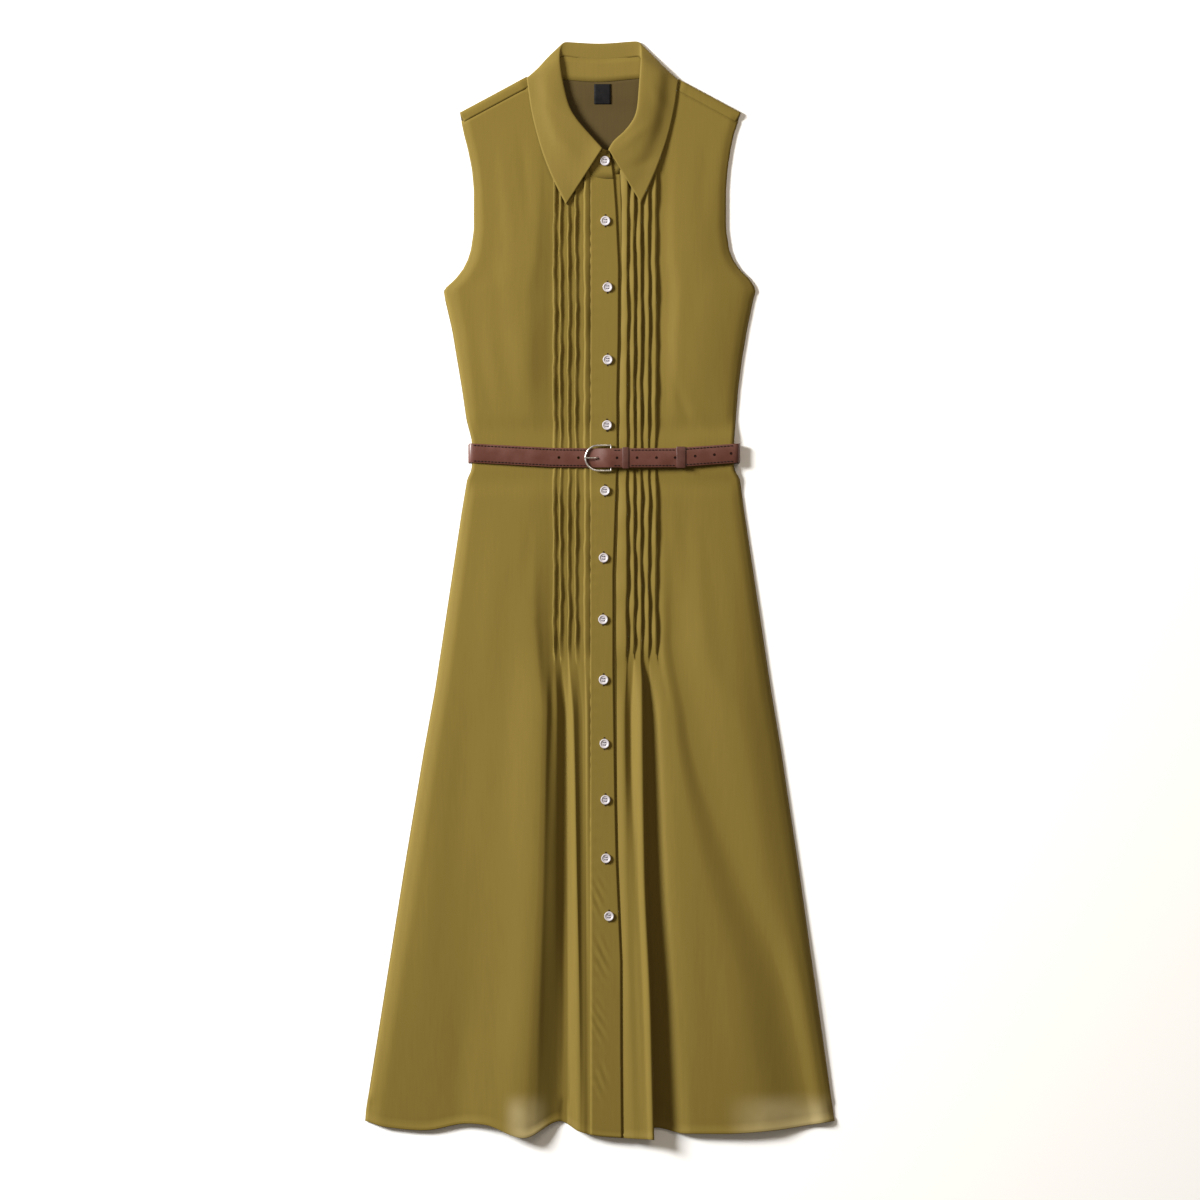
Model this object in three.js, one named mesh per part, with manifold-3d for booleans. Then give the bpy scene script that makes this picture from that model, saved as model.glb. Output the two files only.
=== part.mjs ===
// A sleeveless midi shirt dress with its belt, laid flat on its back: millimetres, +Z up, front side up.
// The neck points to +Y and the hem to -Y. The wearer's right front lies at -X, where its band laps over.
// Heights are of a face above the surface that the dress lies on.
import * as THREE from "three";
import { mergeVertices } from "three/addons/utils/BufferGeometryUtils.js";
import Module from "manifold-3d";

const wasm = await Module();
wasm.setup();

// Driving dimensions
const CLOTH = 1.1; // wall of the cloth panels
const COLLAR_CLOTH = 1.0; // wall of the collar's two pieces
const SEAM = 0.3; // air between pieces that are sewn or lie on each other
const LAYER = CLOTH + SEAM; // from one laid panel to the next
const BACK_HEM_Y = -612; // the back is shorter, so the front's hem lies on the surface by itself
const TUCK_RISE = 2.6; // fold edge of a pintuck above the cloth beside it
const TUCK_RISE_UNDER_BELT = 1.3;
const TUCK_END_Y = -62; // the stitching stops here and the pleats open
const TUCK_FADE = 70; // length in which the stitched edge flattens out
const SHOULDER_WRAP = 10; // the back comes this far forward over the shoulder
const SHOULDER_TOP = 4.6; // height of the laid shoulder
const NECK_LIFT = 1.5; // the back's neck lies on the collar leaf's back part
const STRAP_WIDTH = 23;
const STRAP_THICKNESS = 2;
const STRAP_Y = 161; // middle of the strap behind the back
const STRAP_MARGIN = 2.5; // the back stays level this far past the strap's edges
const STRAP_SLOPE = 34; // length in which it comes down again
const STRAP_LIFT = { fromX: 70, toX: 118, single: 2.3, doubled: 4.6 }; // one and two layers of strap
const OVER_LEAF = { fromY: 574, toY: 592, fromX: 92, toX: 110 }; // where the back rises over the collar
const PRESSED = { shift: 2, from: 17, to: 50 }; // reach of the belt's pressure up and down the fronts
const PANEL_ROOM = 0.1; // added air between the back and a front
const TOUCH = 0.05; // added to a height that would just meet another
const HEM_MARGIN = 3; // a front counts as lying on the back this far past its hem
const SHOULDER_CLOTH_Z = 5; // plain height of the fronts at the shoulder and under the belt
const WAIST_CLOTH_Z = 4.9;
const NECK_FRONT_Y = 493;
const ABOUT_SHOULDER_Y = 540; // places where a slanting line's x is read for its ends
const ABOUT_HEM_Y = -645;
const BUTTON_RADIUS = 5.7;
const BUTTON_THICKNESS = 2.2;
const LABEL = { x: 3, top: 605.6, width: 20, length: 24, thickness: 0.8, leastLift: 1.35 };

// Side edges from the shoulder tip down to the hem
const SIDE_EDGES = [
  { y: 571, left: -168.6, right: 169.2 },
  { y: 545, left: -163.2, right: 160.5 },
  { y: 527, left: -158.4, right: 156.6 },
  { y: 503, left: -153.6, right: 153.0 },
  { y: 479, left: -151.4, right: 151.2 },
  { y: 431, left: -151.4, right: 151.2 },
  { y: 407, left: -154.8, right: 154.8 },
  { y: 395, left: -158.6, right: 159.6 },
  { y: 383, left: -164.6, right: 167.5 },
  { y: 371, left: -174.2, right: 180.0 },
  { y: 359, left: -187.8, right: 187.2 },
  { y: 347, left: -186.0, right: 184.0 },
  { y: 311, left: -177.6, right: 176.4 },
  { y: 275, left: -171.6, right: 170.4 },
  { y: 239, left: -165.6, right: 165.8 },
  { y: 203, left: -160.4, right: 163.0 },
  { y: 178, left: -153.8, right: 160.8 },
  { y: 144, left: -153.8, right: 160.8 },
  { y: 131, left: -159.6, right: 168.0 },
  { y: 95, left: -165.6, right: 172.8 },
  { y: 23, left: -176.4, right: 183.6 },
  { y: -49, left: -187.2, right: 194.4 },
  { y: -121, left: -198.0, right: 205.2 },
  { y: -193, left: -211.2, right: 217.2 },
  { y: -337, left: -235.2, right: 238.8 },
  { y: -481, left: -258.0, right: 259.2 },
  { y: -625, left: -280.8, right: 279.6 },
  { y: -641, left: -282.0, right: 282.0 },
];

// Hem of the two fronts, with its waves
const HEM = [
  { x: -282, y: -638 },
  { x: -254, y: -645.6 },
  { x: -211, y: -649.2 },
  { x: -158, y: -640.8 },
  { x: -139, y: -642 },
  { x: -91, y: -657.6 },
  { x: -48, y: -638.4 },
  { x: -24, y: -650.4 },
  { x: 5, y: -656.4 },
  { x: 62.4, y: -658.8 },
  { x: 66, y: -646 },
  { x: 101, y: -652.8 },
  { x: 149, y: -652.8 },
  { x: 206, y: -649.2 },
  { x: 282, y: -638 },
];

// Shoulder seams and necklines of the fronts, from the left shoulder tip to the right one
const FRONT_TOP = [
  { x: -169, y: 559.2 },
  { x: -92, y: 600.4 },
  { x: -75, y: 604 },
  { x: -71, y: 598 },
  { x: -61, y: 565 },
  { x: -41, y: 537.6 },
  { x: -20, y: 511 },
  { x: -11, y: 496 },
  { x: 4, y: 493 },
  { x: 20, y: 493 },
  { x: 30, y: 508 },
  { x: 52, y: 530 },
  { x: 70, y: 563 },
  { x: 76, y: 598 },
  { x: 80, y: 602 },
  { x: 98, y: 597 },
  { x: 170, y: 559.0 },
];

// Outer edges of the back along its top: the shoulder folds, and the neck seam between them
const BACK_TOP = [
  { x: -168.6, y: 570.4 },
  { x: -93, y: 611.0 },
  { x: -90, y: 603 },
  { x: -80, y: 602 },
  { x: -68, y: 606 },
  { x: -46, y: 612.4 },
  { x: -6.6, y: 607.4 },
  { x: 47, y: 613.6 },
  { x: 72, y: 604 },
  { x: 86, y: 599 },
  { x: 96, y: 600 },
  { x: 99, y: 607.0 },
  { x: 169.2, y: 570.4 },
];

// Heights along the length where the fold tables give their values
const STATIONS = [
  { name: "shoulder", y: 560 },
  { name: "bust", y: 300 },
  { name: "waist", y: 161 },
  { name: "hip", y: -59 },
  { name: "thigh", y: -157 },
  { name: "knee", y: -337 },
  { name: "calf", y: -500 },
  { name: "hem", y: -650 },
];

// Broad folds of each front between the side edge (share 0) and its outermost tuck (share 1).
// share and height hold one value for each station, from shoulder to hem.
const LEFT_SIDE_FOLDS = [
  {
    fold: "side roll",
    share: [0.1, 0.14, 0.12, 0.12, 0.12, 0.12, 0.1, 0.1],
    height: [4.6, 6.5, 5, 8, 8, 8.5, 8, 5],
  },
  {
    fold: "trough",
    share: [0.3, 0.25, 0.25, 0.33, 0.3, 0.33, 0.5, 0.5],
    height: [4.6, 6.8, 5, 8.5, 8.5, 9, 8, 5],
  },
  {
    fold: "swell",
    share: [0.55, 0.55, 0.55, 0.58, 0.6, 0.62, 0.68, 0.68],
    height: [4.6, 10, 5.2, 11.5, 12.5, 13.5, 13.5, 11.5],
  },
  {
    fold: "ridge",
    share: [0.84, 0.74, 0.74, 0.82, 0.8, 0.83, 0.83, 0.82],
    height: [4.6, 12, 5.5, 13, 15, 16.5, 16, 14],
  },
  {
    fold: "flank",
    share: [0.92, 0.88, 0.88, 0.91, 0.9, 0.92, 0.92, 0.91],
    height: [4.6, 8.5, 5.2, 9, 12.5, 14.5, 14, 12.5],
  },
];
const RIGHT_SIDE_FOLDS = [
  {
    fold: "long ridge",
    share: [0.12, 0.1, 0.1, 0.07, 0.04, 0.2, 0.42, 0.48],
    height: [4.6, 5.5, 5, 6.5, 9.2, 11, 12, 10],
  },
  {
    fold: "long trough",
    share: [0.3, 0.25, 0.25, 0.15, 0.16, 0.46, 0.78, 0.84],
    height: [4.6, 8.5, 5.2, 5, 6.5, 7, 6, 3.5],
  },
  {
    fold: "outer ridge",
    share: [0.55, 0.5, 0.5, 0.47, 0.48, 0.67, 0.88, 0.92],
    height: [4.6, 9.5, 5.2, 11, 11, 9.5, 8, 5],
  },
  {
    fold: "side roll",
    share: [0.88, 0.86, 0.86, 0.88, 0.88, 0.9, 0.95, 0.96],
    height: [4.6, 7, 5, 8, 8, 8, 7, 4.5],
  },
];

// The five tucks of each front. stitched is where the fold edge runs down to the hip. foot and edge give
// the two sides of the step below it as [x at thigh, knee, calf, hem], rise the heights there.
const LEFT_TUCKS = [
  {
    stitched: -55.2, bust: 5.2, hip: 5.5,
    foot: [-58, -66, -72, -74], footRise: [7, 11, 11, 9.5],
    edge: [-50, -58, -60, -62], edgeRise: [8.5, 7, 6, 4],
  },
  {
    stitched: -48, bust: 5.4, hip: 5.2,
    foot: [-44, -50, -54, -56], footRise: [3.6, 3.2, 3, 1.4],
    edge: [-41.5, -44, -46, -48], edgeRise: [3, 3, 3, 1.3],
  },
  {
    stitched: -38.4, bust: 5.6, hip: 5.2,
    foot: [-37.5, -38, -38, -38], footRise: [6, 5.5, 5.5, 4],
    edge: [-34, -31, -26, -23], edgeRise: [9.5, 10, 10.5, 9.5],
  },
  {
    stitched: -29.6, bust: 5.8, hip: 5.6,
    foot: [-25, -24, -21, -19.5], footRise: [6.5, 7.5, 9, 9.5],
    edge: [-21, -19.5, -18, -17.5], edgeRise: [6, 6.8, 8.4, 9.2],
  },
  {
    stitched: -18.6, bust: 6, hip: 6,
    foot: [-17.8, -17, -16, -15.8], footRise: [6.5, 6.6, 8, 8.8],
    edge: [-15.2, -14.6, -14.2, -14], edgeRise: [8, 7.2, 8, 8.6],
  },
];
const RIGHT_TUCKS = [
  {
    stitched: 32.8, bust: 5, hip: 5.4,
    edge: [28.8, 32, 36, 40], edgeRise: [8, 10, 11, 12],
    foot: [33.5, 37, 42, 47], footRise: [5.5, 10, 11.5, 13],
  },
  {
    stitched: 41.2, bust: 4.9, hip: 5.3,
    edge: [36.6, 41, 47, 52], edgeRise: [4.2, 10, 12.5, 14],
    foot: [42, 45.5, 52, 57], footRise: [8, 11, 13.5, 15.5],
  },
  {
    stitched: 49.6, bust: 4.8, hip: 5.2,
    edge: [49, 51, 58, 61.6], edgeRise: [12, 13.5, 16.5, 18],
    foot: [54.5, 56.5, 62.5, 65.6], footRise: [3.8, 4.5, 4, 1.8],
  },
  {
    stitched: 58.6, bust: 4.7, hip: 5.1,
    edge: [60, 65, 72, 80], edgeRise: [3.2, 3, 3, 1.4],
    foot: [66, 73, 81, 89], footRise: [4.8, 4.2, 3.8, 2.4],
  },
  {
    stitched: 67.6, bust: 4.6, hip: 5,
    edge: [74, 82, 92, 99], edgeRise: [8, 8, 7.5, 6],
    foot: [84, 95, 106, 110], footRise: [9, 10, 9.5, 8.5],
  },
];

// The front bands: edges across, and heights of the upper band's face
const BANDS = [
  { y: 494, left: -12.3, over: 16.6, seam: 25, height: 6.6 },
  { y: 456, left: -12.3, over: 19.4, seam: 26.4, height: 6.6 },
  { y: 385, left: -12.3, over: 22.8, seam: 26.4, height: 6.6 },
  { y: 300, left: -12.3, over: 22.2, seam: 25.6, height: 6.6 },
  { y: 230, left: -12.3, over: 20.6, seam: 23.4, height: 6.4 },
  { y: 161, left: -12.3, over: 21.0, seam: 24, height: 6.2 },
  { y: 20, left: -12.3, over: 15.8, seam: 19.4, height: 6.8 },
  { y: -97, left: -12.3, over: 15.8, seam: 19.4, height: 7 },
  { y: -252, left: -12.2, over: 18, seam: 21, height: 7.6 },
  { y: -324, left: -12, over: 19.7, seam: 22.6, height: 8 },
  { y: -446, left: -11.6, over: 25.2, seam: 27.4, height: 9 },
  { y: -560, left: -11.6, over: 25.4, seam: 27.8, height: 9.4 },
  { y: -660, left: -11.6, over: 26.4, seam: 28.4, height: 9.6 },
];

// Collar leaf from the left point round the neck to the right one. seam is where it joins the stand, roll
// where it turns over, mid and edge lie outside. A z that isn't given follows what the leaf lies on.
const LEAF = [
  { seam: [2.4, 525.4, 7.2], roll: [2.8, 527.4, 8.1], edge: [-40.8, 460.5] },
  { seam: [-10, 537, 6.6], roll: [-7.8, 539.6, 7.5], edge: [-48, 474] },
  { seam: [-26, 555, 5.6], roll: [-24, 557.4, 6.5], edge: [-58.8, 495.6] },
  { seam: [-39.6, 574, 5], roll: [-37.4, 576, 5.9], edge: [-70.8, 526.8] },
  { seam: [-47, 605, 4.4], roll: [-44.4, 606, 5.3], edge: [-82.8, 572.4] },
  { seam: [-50.5, 628, 3.9], roll: [-48.4, 632, 4.8], edge: [-87.4, 609.5] },
  {
    seam: [-49, 637.6, 3], roll: [-48.6, 646, 4], mid: [-71, 627.6, 4.6],
    under: [-80, 621, 4.2], edge: [-88.6, 614.4, 3.4],
  },
  {
    seam: [-45, 639.6, 2.2], roll: [-46, 653, 2.4], mid: [-66, 636, 2.6],
    under: [-63, 630, 0.6], edge: [-82, 603, 0.5],
  },
  {
    seam: [-34, 639, 2.1], roll: [-34, 657.8, 1.3], mid: [-42, 646, 0.5],
    under: [-45, 625, 0.5], edge: [-50, 597, 0.5],
  },
  {
    seam: [0, 634, 2.1], roll: [0, 658.5, 1.3], mid: [0, 646, 0.5],
    under: [0, 622, 0.5], edge: [0, 596, 0.5],
  },
  {
    seam: [34, 638, 2.1], roll: [34, 658.1, 1.3], mid: [42, 646, 0.5],
    under: [45, 625, 0.5], edge: [50, 597, 0.5],
  },
  {
    seam: [46, 639, 2.2], roll: [47.4, 654, 2.4], mid: [68, 636, 2.6],
    under: [66, 630, 0.6], edge: [88, 600, 0.5],
  },
  {
    seam: [49.4, 637.6, 3], roll: [49.6, 646, 4], mid: [74, 628.4, 4.6],
    under: [85, 620, 4.2], edge: [95, 611.4, 3.4],
  },
  { seam: [51, 628, 3.9], roll: [49.2, 632, 4.8], edge: [93.4, 606.5] },
  { seam: [49.4, 603.6, 4.4], roll: [46.8, 603.6, 5.3], edge: [91, 582] },
  { seam: [46.8, 565.4, 5], roll: [44.6, 567, 5.9], edge: [82, 542.4] },
  { seam: [31, 544.6, 5.6], roll: [29, 547, 6.5], edge: [69, 505] },
  { seam: [18.6, 535, 6.6], roll: [16.4, 537.4, 7.5], edge: [57.6, 478.8] },
  { seam: [10.6, 524.4, 7.2], roll: [10.2, 526.4, 8.1], edge: [49.2, 462] },
];

// Collar stand from its end on top at the front, round the left side, the back and the right side, to its
// end underneath: bottom edge at the neck seam, top edge at the leaf, and its height
const STAND = [
  { bottom: [16, 494.6], top: [12, 523], z: 6.1 },
  { bottom: [4, 494.4], top: [4, 524.4], z: 6.1 },
  { bottom: [-10.4, 497.4], top: [-2.4, 529], z: 6 },
  { bottom: [-19.4, 511.8], top: [-9.4, 533], z: 5.6 },
  { bottom: [-38.8, 539.6], top: [-27, 551.6], z: 4.6 },
  { bottom: [-57.6, 567.6], top: [-41.4, 574.4], z: 4.1 },
  { bottom: [-69.6, 598], top: [-49.4, 604.8], z: 3.9 },
  { bottom: [-73, 611.4], top: [-53, 628], z: 3.4 },
  { bottom: [-66, 613.4], top: [-50.4, 635.6], z: 2.5 },
  { bottom: [-46, 613], top: [-44.6, 637.4], z: 2.1 },
  { bottom: [0, 608.6], top: [0, 632.8], z: 2.1 },
  { bottom: [46, 614.4], top: [44.6, 636.6], z: 2.1 },
  { bottom: [66, 613.4], top: [51.4, 636.4], z: 2.4 },
  { bottom: [76.6, 609.6], top: [53.4, 628], z: 3.4 },
  { bottom: [75, 597.8], top: [51.8, 603.6], z: 3.9 },
  { bottom: [69.2, 564], top: [49, 566], z: 4.1 },
  { bottom: [49.6, 533.4], top: [32.2, 542.6], z: 4.3 },
  { bottom: [29.4, 509.2], top: [18.6, 531], z: 4.5 },
  { bottom: [20, 494.6], top: [10, 523], z: 4.6 },
  { bottom: [-6, 494.6], top: [-4, 522], z: 4.6 },
];

// Buttons from the neck down
const BUTTONS = [
  { x: 6, y: 513 },
  { x: 6.5, y: 441.2 },
  { x: 9, y: 361.7 },
  { x: 9.2, y: 274.8 },
  { x: 8.4, y: 196.4 },
  { x: 6, y: 117.8 },
  { x: 4.3, y: 37.4 },
  { x: 3.7, y: -36.5 },
  { x: 4.3, y: -108.8 },
  { x: 5.3, y: -185.3 },
  { x: 6.5, y: -252.6 },
  { x: 7.2, y: -322.7 },
  { x: 10.8, y: -392 },
];

// Middle line of the strap from beside the buckle's bar, round by the right side and behind the back, to
// the front again, through the buckle, over its own first run and round the right side to its tip
const STRAP_ROUTE = [
  { x: 15.8, z: 9.1 },
  { x: 84, z: 9.6 },
  { x: 112, z: 9.6 },
  { x: 148, z: 8.9 },
  { x: 160.6, z: 8.7 },
  { x: 164.6, z: 7.6 },
  { x: 165.8, z: 5.9 },
  { x: 164.6, z: 4.2 },
  { x: 160.6, z: 3.3 },
  { x: 118, z: 3.3 },
  { x: 72, z: 1 },
  { x: -152, z: 1 },
  { x: -157.2, z: 1.9 },
  { x: -158.6, z: 3.9 },
  { x: -157.2, z: 6 },
  { x: -152, z: 6.8 },
  { x: -70, z: 7.7 },
  { x: -10, z: 7.7 },
  { x: -2.4, z: 9.1 },
  { x: 7.6, z: 12 },
  { x: 13, z: 12.5 },
  { x: 25, z: 11.6 },
  { x: 84, z: 11.9 },
  { x: 112, z: 11.9 },
  { x: 150, z: 11.2 },
  { x: 162.4, z: 10.9 },
  { x: 167, z: 9.6 },
  { x: 168.6, z: 5.9 },
  { x: 167, z: 2.2 },
  { x: 162.4, z: 1 },
  { x: 122, z: 1 },
];
const FIRST_RUN = STRAP_ROUTE.slice(0, 5); // the strap over the right front, under its own end
const TOP_RUN = STRAP_ROUTE.slice(15, 26); // the strap that shows across the front
const STRAP_SLANT = [
  { x: -158, y: 163.2 },
  { x: -57, y: 157.6 },
  { x: 0, y: 156.9 },
  { x: 90, y: 157.2 },
  { x: 168, y: 163 },
];
const HOLES = [-49.2, -25.9, -2.3, 20.4, 44.4, 67.7, 90, 114, 137, 157];
const HOLE_RADIUS = 2;
const KEEPERS = [
  { x: 30.6, width: 7.2 },
  { x: 97, width: 10.6 },
];
const KEEPER_WALL = 1.2;
const BUCKLE_BAR_X = 13.2;
const BUCKLE_BAR_Z = 9.1;
const BUCKLE_BAR_RADIUS = 0.9;
const BUCKLE_WIRE_RADIUS = 1.1;
const BUCKLE_HALF_WIDTH = 15.1;
const BUCKLE_ROUND_X = -2.3; // middle of the round end
const BUCKLE_SIDE_X = 7; // the straight sides run from the bar to here
const BUCKLE_FRONT_Z = 10.3; // middle of the wire at the round end
const PRONG_RADIUS = 0.8;
const PRONG_PATH = [
  { along: 6, up: -1.3 },
  { along: 12.8, up: -1.4 },
  { along: 14.8, up: -0.6 },
  { along: 15.7, up: 1.2 },
  { along: 17, up: 3 },
  { along: 21, up: 3.6 },
  { along: 31.6, up: 3.6 },
]; // from the bar towards the round end, up through the hole
const ROUND_SIDES = 8; // of the wire, the prong and the punched holes

// Straight lines between the rows of a table
function along(rows, from, to) {
  const ordered = [...rows].sort((a, b) => a[from] - b[from]);
  return (t) => {
    let i = 1;
    while (i < ordered.length - 1 && t > ordered[i][from]) i += 1;
    const [a, b] = [ordered[i - 1], ordered[i]];
    const share = THREE.MathUtils.clamp((t - a[from]) / (b[from] - a[from]), 0, 1);
    return THREE.MathUtils.lerp(a[to], b[to], share);
  };
}

// A soft curve through one value at each station
function throughStations(values) {
  const slope = (i) => {
    const [a, b] = [Math.max(i - 1, 0), Math.min(i + 1, STATIONS.length - 1)];
    return (values[b] - values[a]) / (STATIONS[b].y - STATIONS[a].y);
  };
  return (y) => {
    let i = 0;
    while (i < STATIONS.length - 2 && y < STATIONS[i + 1].y) i += 1;
    const span = STATIONS[i + 1].y - STATIONS[i].y;
    const t = THREE.MathUtils.clamp((y - STATIONS[i].y) / span, 0, 1);
    const [t2, t3] = [t * t, t * t * t];
    return (
      (2 * t3 - 3 * t2 + 1) * values[i] +
      (t3 - 2 * t2 + t) * span * slope(i) +
      (3 * t2 - 2 * t3) * values[i + 1] +
      (t3 - t2) * span * slope(i + 1)
    );
  };
}

const leftEdge = along(SIDE_EDGES, "y", "left");
const rightEdge = along(SIDE_EDGES, "y", "right");
const hemY = along(HEM, "x", "y");
const frontTopY = along(FRONT_TOP, "x", "y");
const backTopY = along(BACK_TOP, "x", "y");
const bandLeft = along(BANDS, "y", "left");
const bandOver = along(BANDS, "y", "over");
const bandSeam = along(BANDS, "y", "seam");
const bandHeight = along(BANDS, "y", "height");
const strapY = along(STRAP_SLANT, "x", "y");

// How far the back is lifted off the surface, by the strap behind it and by the collar leaf
function backLift(x, y) {
  const { fromX, toX, single, doubled } = STRAP_LIFT;
  const strap = THREE.MathUtils.mapLinear(THREE.MathUtils.clamp(x, fromX, toX), fromX, toX, single, doubled);
  const fromStrap = Math.abs(y - STRAP_Y) - (STRAP_WIDTH / 2 + STRAP_MARGIN);
  const byStrap = strap * (1 - THREE.MathUtils.smoothstep(fromStrap, 0, STRAP_SLOPE));
  const upLeaf = THREE.MathUtils.smoothstep(y, OVER_LEAF.fromY, OVER_LEAF.toY);
  const besideLeaf = THREE.MathUtils.smoothstep(Math.abs(x), OVER_LEAF.fromX, OVER_LEAF.toX);
  return Math.max(byStrap, NECK_LIFT * upLeaf * (1 - besideLeaf));
}

// The lowest that a front's upper face can lie: on the back, or past its hem on the surface
function lowestFront(x, y) {
  const under = y > BACK_HEM_Y - HEM_MARGIN ? backLift(x, y) + CLOTH + SEAM : 0;
  return under + CLOTH + PANEL_ROOM;
}

const underBelt = (y) =>
  1 - THREE.MathUtils.smoothstep(Math.abs(y - STRAP_Y + PRESSED.shift), PRESSED.from, PRESSED.to);

// How much of a tuck's stitched fold stands at a height along the dress
function stitched(y) {
  const open = THREE.MathUtils.smoothstep(TUCK_END_Y - y, 0, TUCK_FADE);
  return (1 - open) * THREE.MathUtils.lerp(TUCK_RISE, TUCK_RISE_UNDER_BELT, underBelt(y));
}

// Each fold line of a front gives x, the height of the plain cloth and the tuck's rise on top of it at y.
const line = (x, height, rise = () => 0) => ({ x, height, rise });

// Small waves of the stitched fold edges
const WAVERS = [
  { size: 1.1, length: 9.7, turn: 1 },
  { size: 0.7, length: 6.3, turn: 2.2 },
];
const WAVER_LEAD = 20; // the waves run this far past the end of the stitching

function tuckLine(tuck, part, offset, wave) {
  const waver = (y) =>
    WAVERS.reduce((sum, { size, length, turn }) => sum + size * Math.sin(y / length + turn * wave), 0);
  const upper = Array(4).fill(tuck.stitched); // the first four stations
  const x = throughStations([...upper, ...tuck[part]]);
  const stitchedHeights = [SHOULDER_CLOTH_Z, tuck.bust, WAIST_CLOTH_Z, tuck.hip];
  const height = throughStations([...stitchedHeights, ...tuck[part + "Rise"]]);
  const held = (y) => 1 - THREE.MathUtils.smoothstep(TUCK_END_Y + WAVER_LEAD - y, 0, TUCK_FADE);
  return line((y) => x(y) + held(y) * (offset + waver(y)), height, part === "edge" ? stitched : () => 0);
}

function sideLine(fold, edgeX, outerTuck) {
  const share = throughStations(fold.share);
  const fromEdge = edgeX === leftEdge;
  return line((y) => {
    const [a, b] = fromEdge ? [edgeX(y), outerTuck.x(y)] : [outerTuck.x(y), edgeX(y)];
    return a + (b - a) * share(y);
  }, throughStations(fold.height));
}

const EDGE_OFFSET = 0.5; // half the width of the step under a tuck's fold edge
const leftTuckLines = LEFT_TUCKS.flatMap((tuck, i) => [
  tuckLine(tuck, "foot", -EDGE_OFFSET, i),
  tuckLine(tuck, "edge", EDGE_OFFSET, i),
]);
const rightTuckLines = RIGHT_TUCKS.flatMap((tuck, i) => [
  tuckLine(tuck, "edge", -EDGE_OFFSET, i + 5),
  tuckLine(tuck, "foot", EDGE_OFFSET, i + 5),
]);
const leftLines = [
  line(leftEdge, () => 0),
  ...LEFT_SIDE_FOLDS.map((fold) => sideLine(fold, leftEdge, leftTuckLines[0])),
  ...leftTuckLines,
  line((y) => bandLeft(y) - SEAM, bandHeight),
];
const rightLines = [
  line((y) => bandSeam(y) + SEAM, (y) => bandHeight(y) - LAYER),
  ...rightTuckLines,
  ...RIGHT_SIDE_FOLDS.map((fold) => sideLine(fold, rightEdge, rightTuckLines[9])),
  line(rightEdge, () => 0),
];

// Heights of the rows: a few shared out above the underarm, level ones below it, and the hem
const UNDERARM_Y = 359;
const TOP_SHARES = [0, 0.06, 0.18, 0.3, 0.42, 0.54, 0.65, 0.74, 0.82, 0.88, 0.94];
const LEVELS = [
  ...[UNDERARM_Y, 347, 325, 300, 275, 250, 226, 203, 189, 177, 145, 132, 118, 100, 80, 60, 36, 12],
  ...[-12, -36, -60, -78, -98, -120, -145, -180, -220, -265, -315, -370, -425, -480, -530, -575],
  ...[-600, BACK_HEM_Y - 2.5, -624],
];
const HEM_SHARES = [0.5, 1];

function rowHeights(topY, bottomY) {
  const top = TOP_SHARES.map((share) => THREE.MathUtils.lerp(topY, UNDERARM_Y, share));
  const last = LEVELS.at(-1);
  return [...top, ...LEVELS, ...HEM_SHARES.map((share) => THREE.MathUtils.lerp(last, bottomY, share))];
}

// A point of a front on one fold line at y: the plain cloth's height, and the outer face's with the tuck
function frontPoint(foldLine, y) {
  const x = foldLine.x(y);
  const lowest = lowestFront(x, y);
  const pressed = underBelt(y);
  const free = Math.max(foldLine.height(y), lowest);
  const plain = THREE.MathUtils.lerp(free, lowest + TOUCH, pressed);
  return { x, y, plain, outer: plain + foldLine.rise(y) };
}

// A height that depends on its own x, found by a few rounds
function settled(heightFrom, start) {
  let y = start;
  const rounds = 6;
  for (let round = 0; round < rounds; round += 1) y = heightFrom(y);
  return y;
}

function frontGrid(lines) {
  const columns = lines.map((foldLine) => {
    const topY = settled((y) => frontTopY(foldLine.x(y)), ABOUT_SHOULDER_Y);
    return rowHeights(topY, hemY(foldLine.x(ABOUT_HEM_Y))).map((y) => frontPoint(foldLine, y));
  });
  return columns[0].map((_, row) => columns.map((column) => column[row]));
}

// Turns grids of outer and inner points into one closed wall
function wall(outer, inner) {
  const [rows, columns] = [outer.length, outer[0].length];
  const points = [...outer.flat(), ...inner.flat()];
  const at = (row, column, side) => side * rows * columns + row * columns + column;
  const faces = [];
  const quad = (a, b, c, d) => faces.push(a, b, c, a, c, d);
  for (let r = 0; r < rows - 1; r += 1) {
    for (let c = 0; c < columns - 1; c += 1) {
      quad(at(r, c, 0), at(r + 1, c, 0), at(r + 1, c + 1, 0), at(r, c + 1, 0));
      quad(at(r, c, 1), at(r, c + 1, 1), at(r + 1, c + 1, 1), at(r + 1, c, 1));
    }
  }
  const rim = [];
  for (let r = 0; r < rows - 1; r += 1) rim.push([r, 0]);
  for (let c = 0; c < columns - 1; c += 1) rim.push([rows - 1, c]);
  for (let r = rows - 1; r > 0; r -= 1) rim.push([r, columns - 1]);
  for (let c = columns - 1; c > 0; c -= 1) rim.push([0, c]);
  rim.forEach(([r, c], i) => {
    const [r2, c2] = rim[(i + 1) % rim.length];
    quad(at(r2, c2, 0), at(r, c, 0), at(r, c, 1), at(r2, c2, 1));
  });
  return pointingOut(points, faces);
}

function pointingOut(points, faces) {
  let volume = 0;
  for (let i = 0; i < faces.length; i += 3) {
    const [a, b, c] = [points[faces[i]], points[faces[i + 1]], points[faces[i + 2]]];
    volume += a.dot(new THREE.Vector3().crossVectors(b, c));
  }
  const order = volume < 0 ? [...faces].reverse() : faces;
  const geometry = new THREE.BufferGeometry().setFromPoints(points);
  geometry.setIndex(order);
  return geometry;
}

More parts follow.
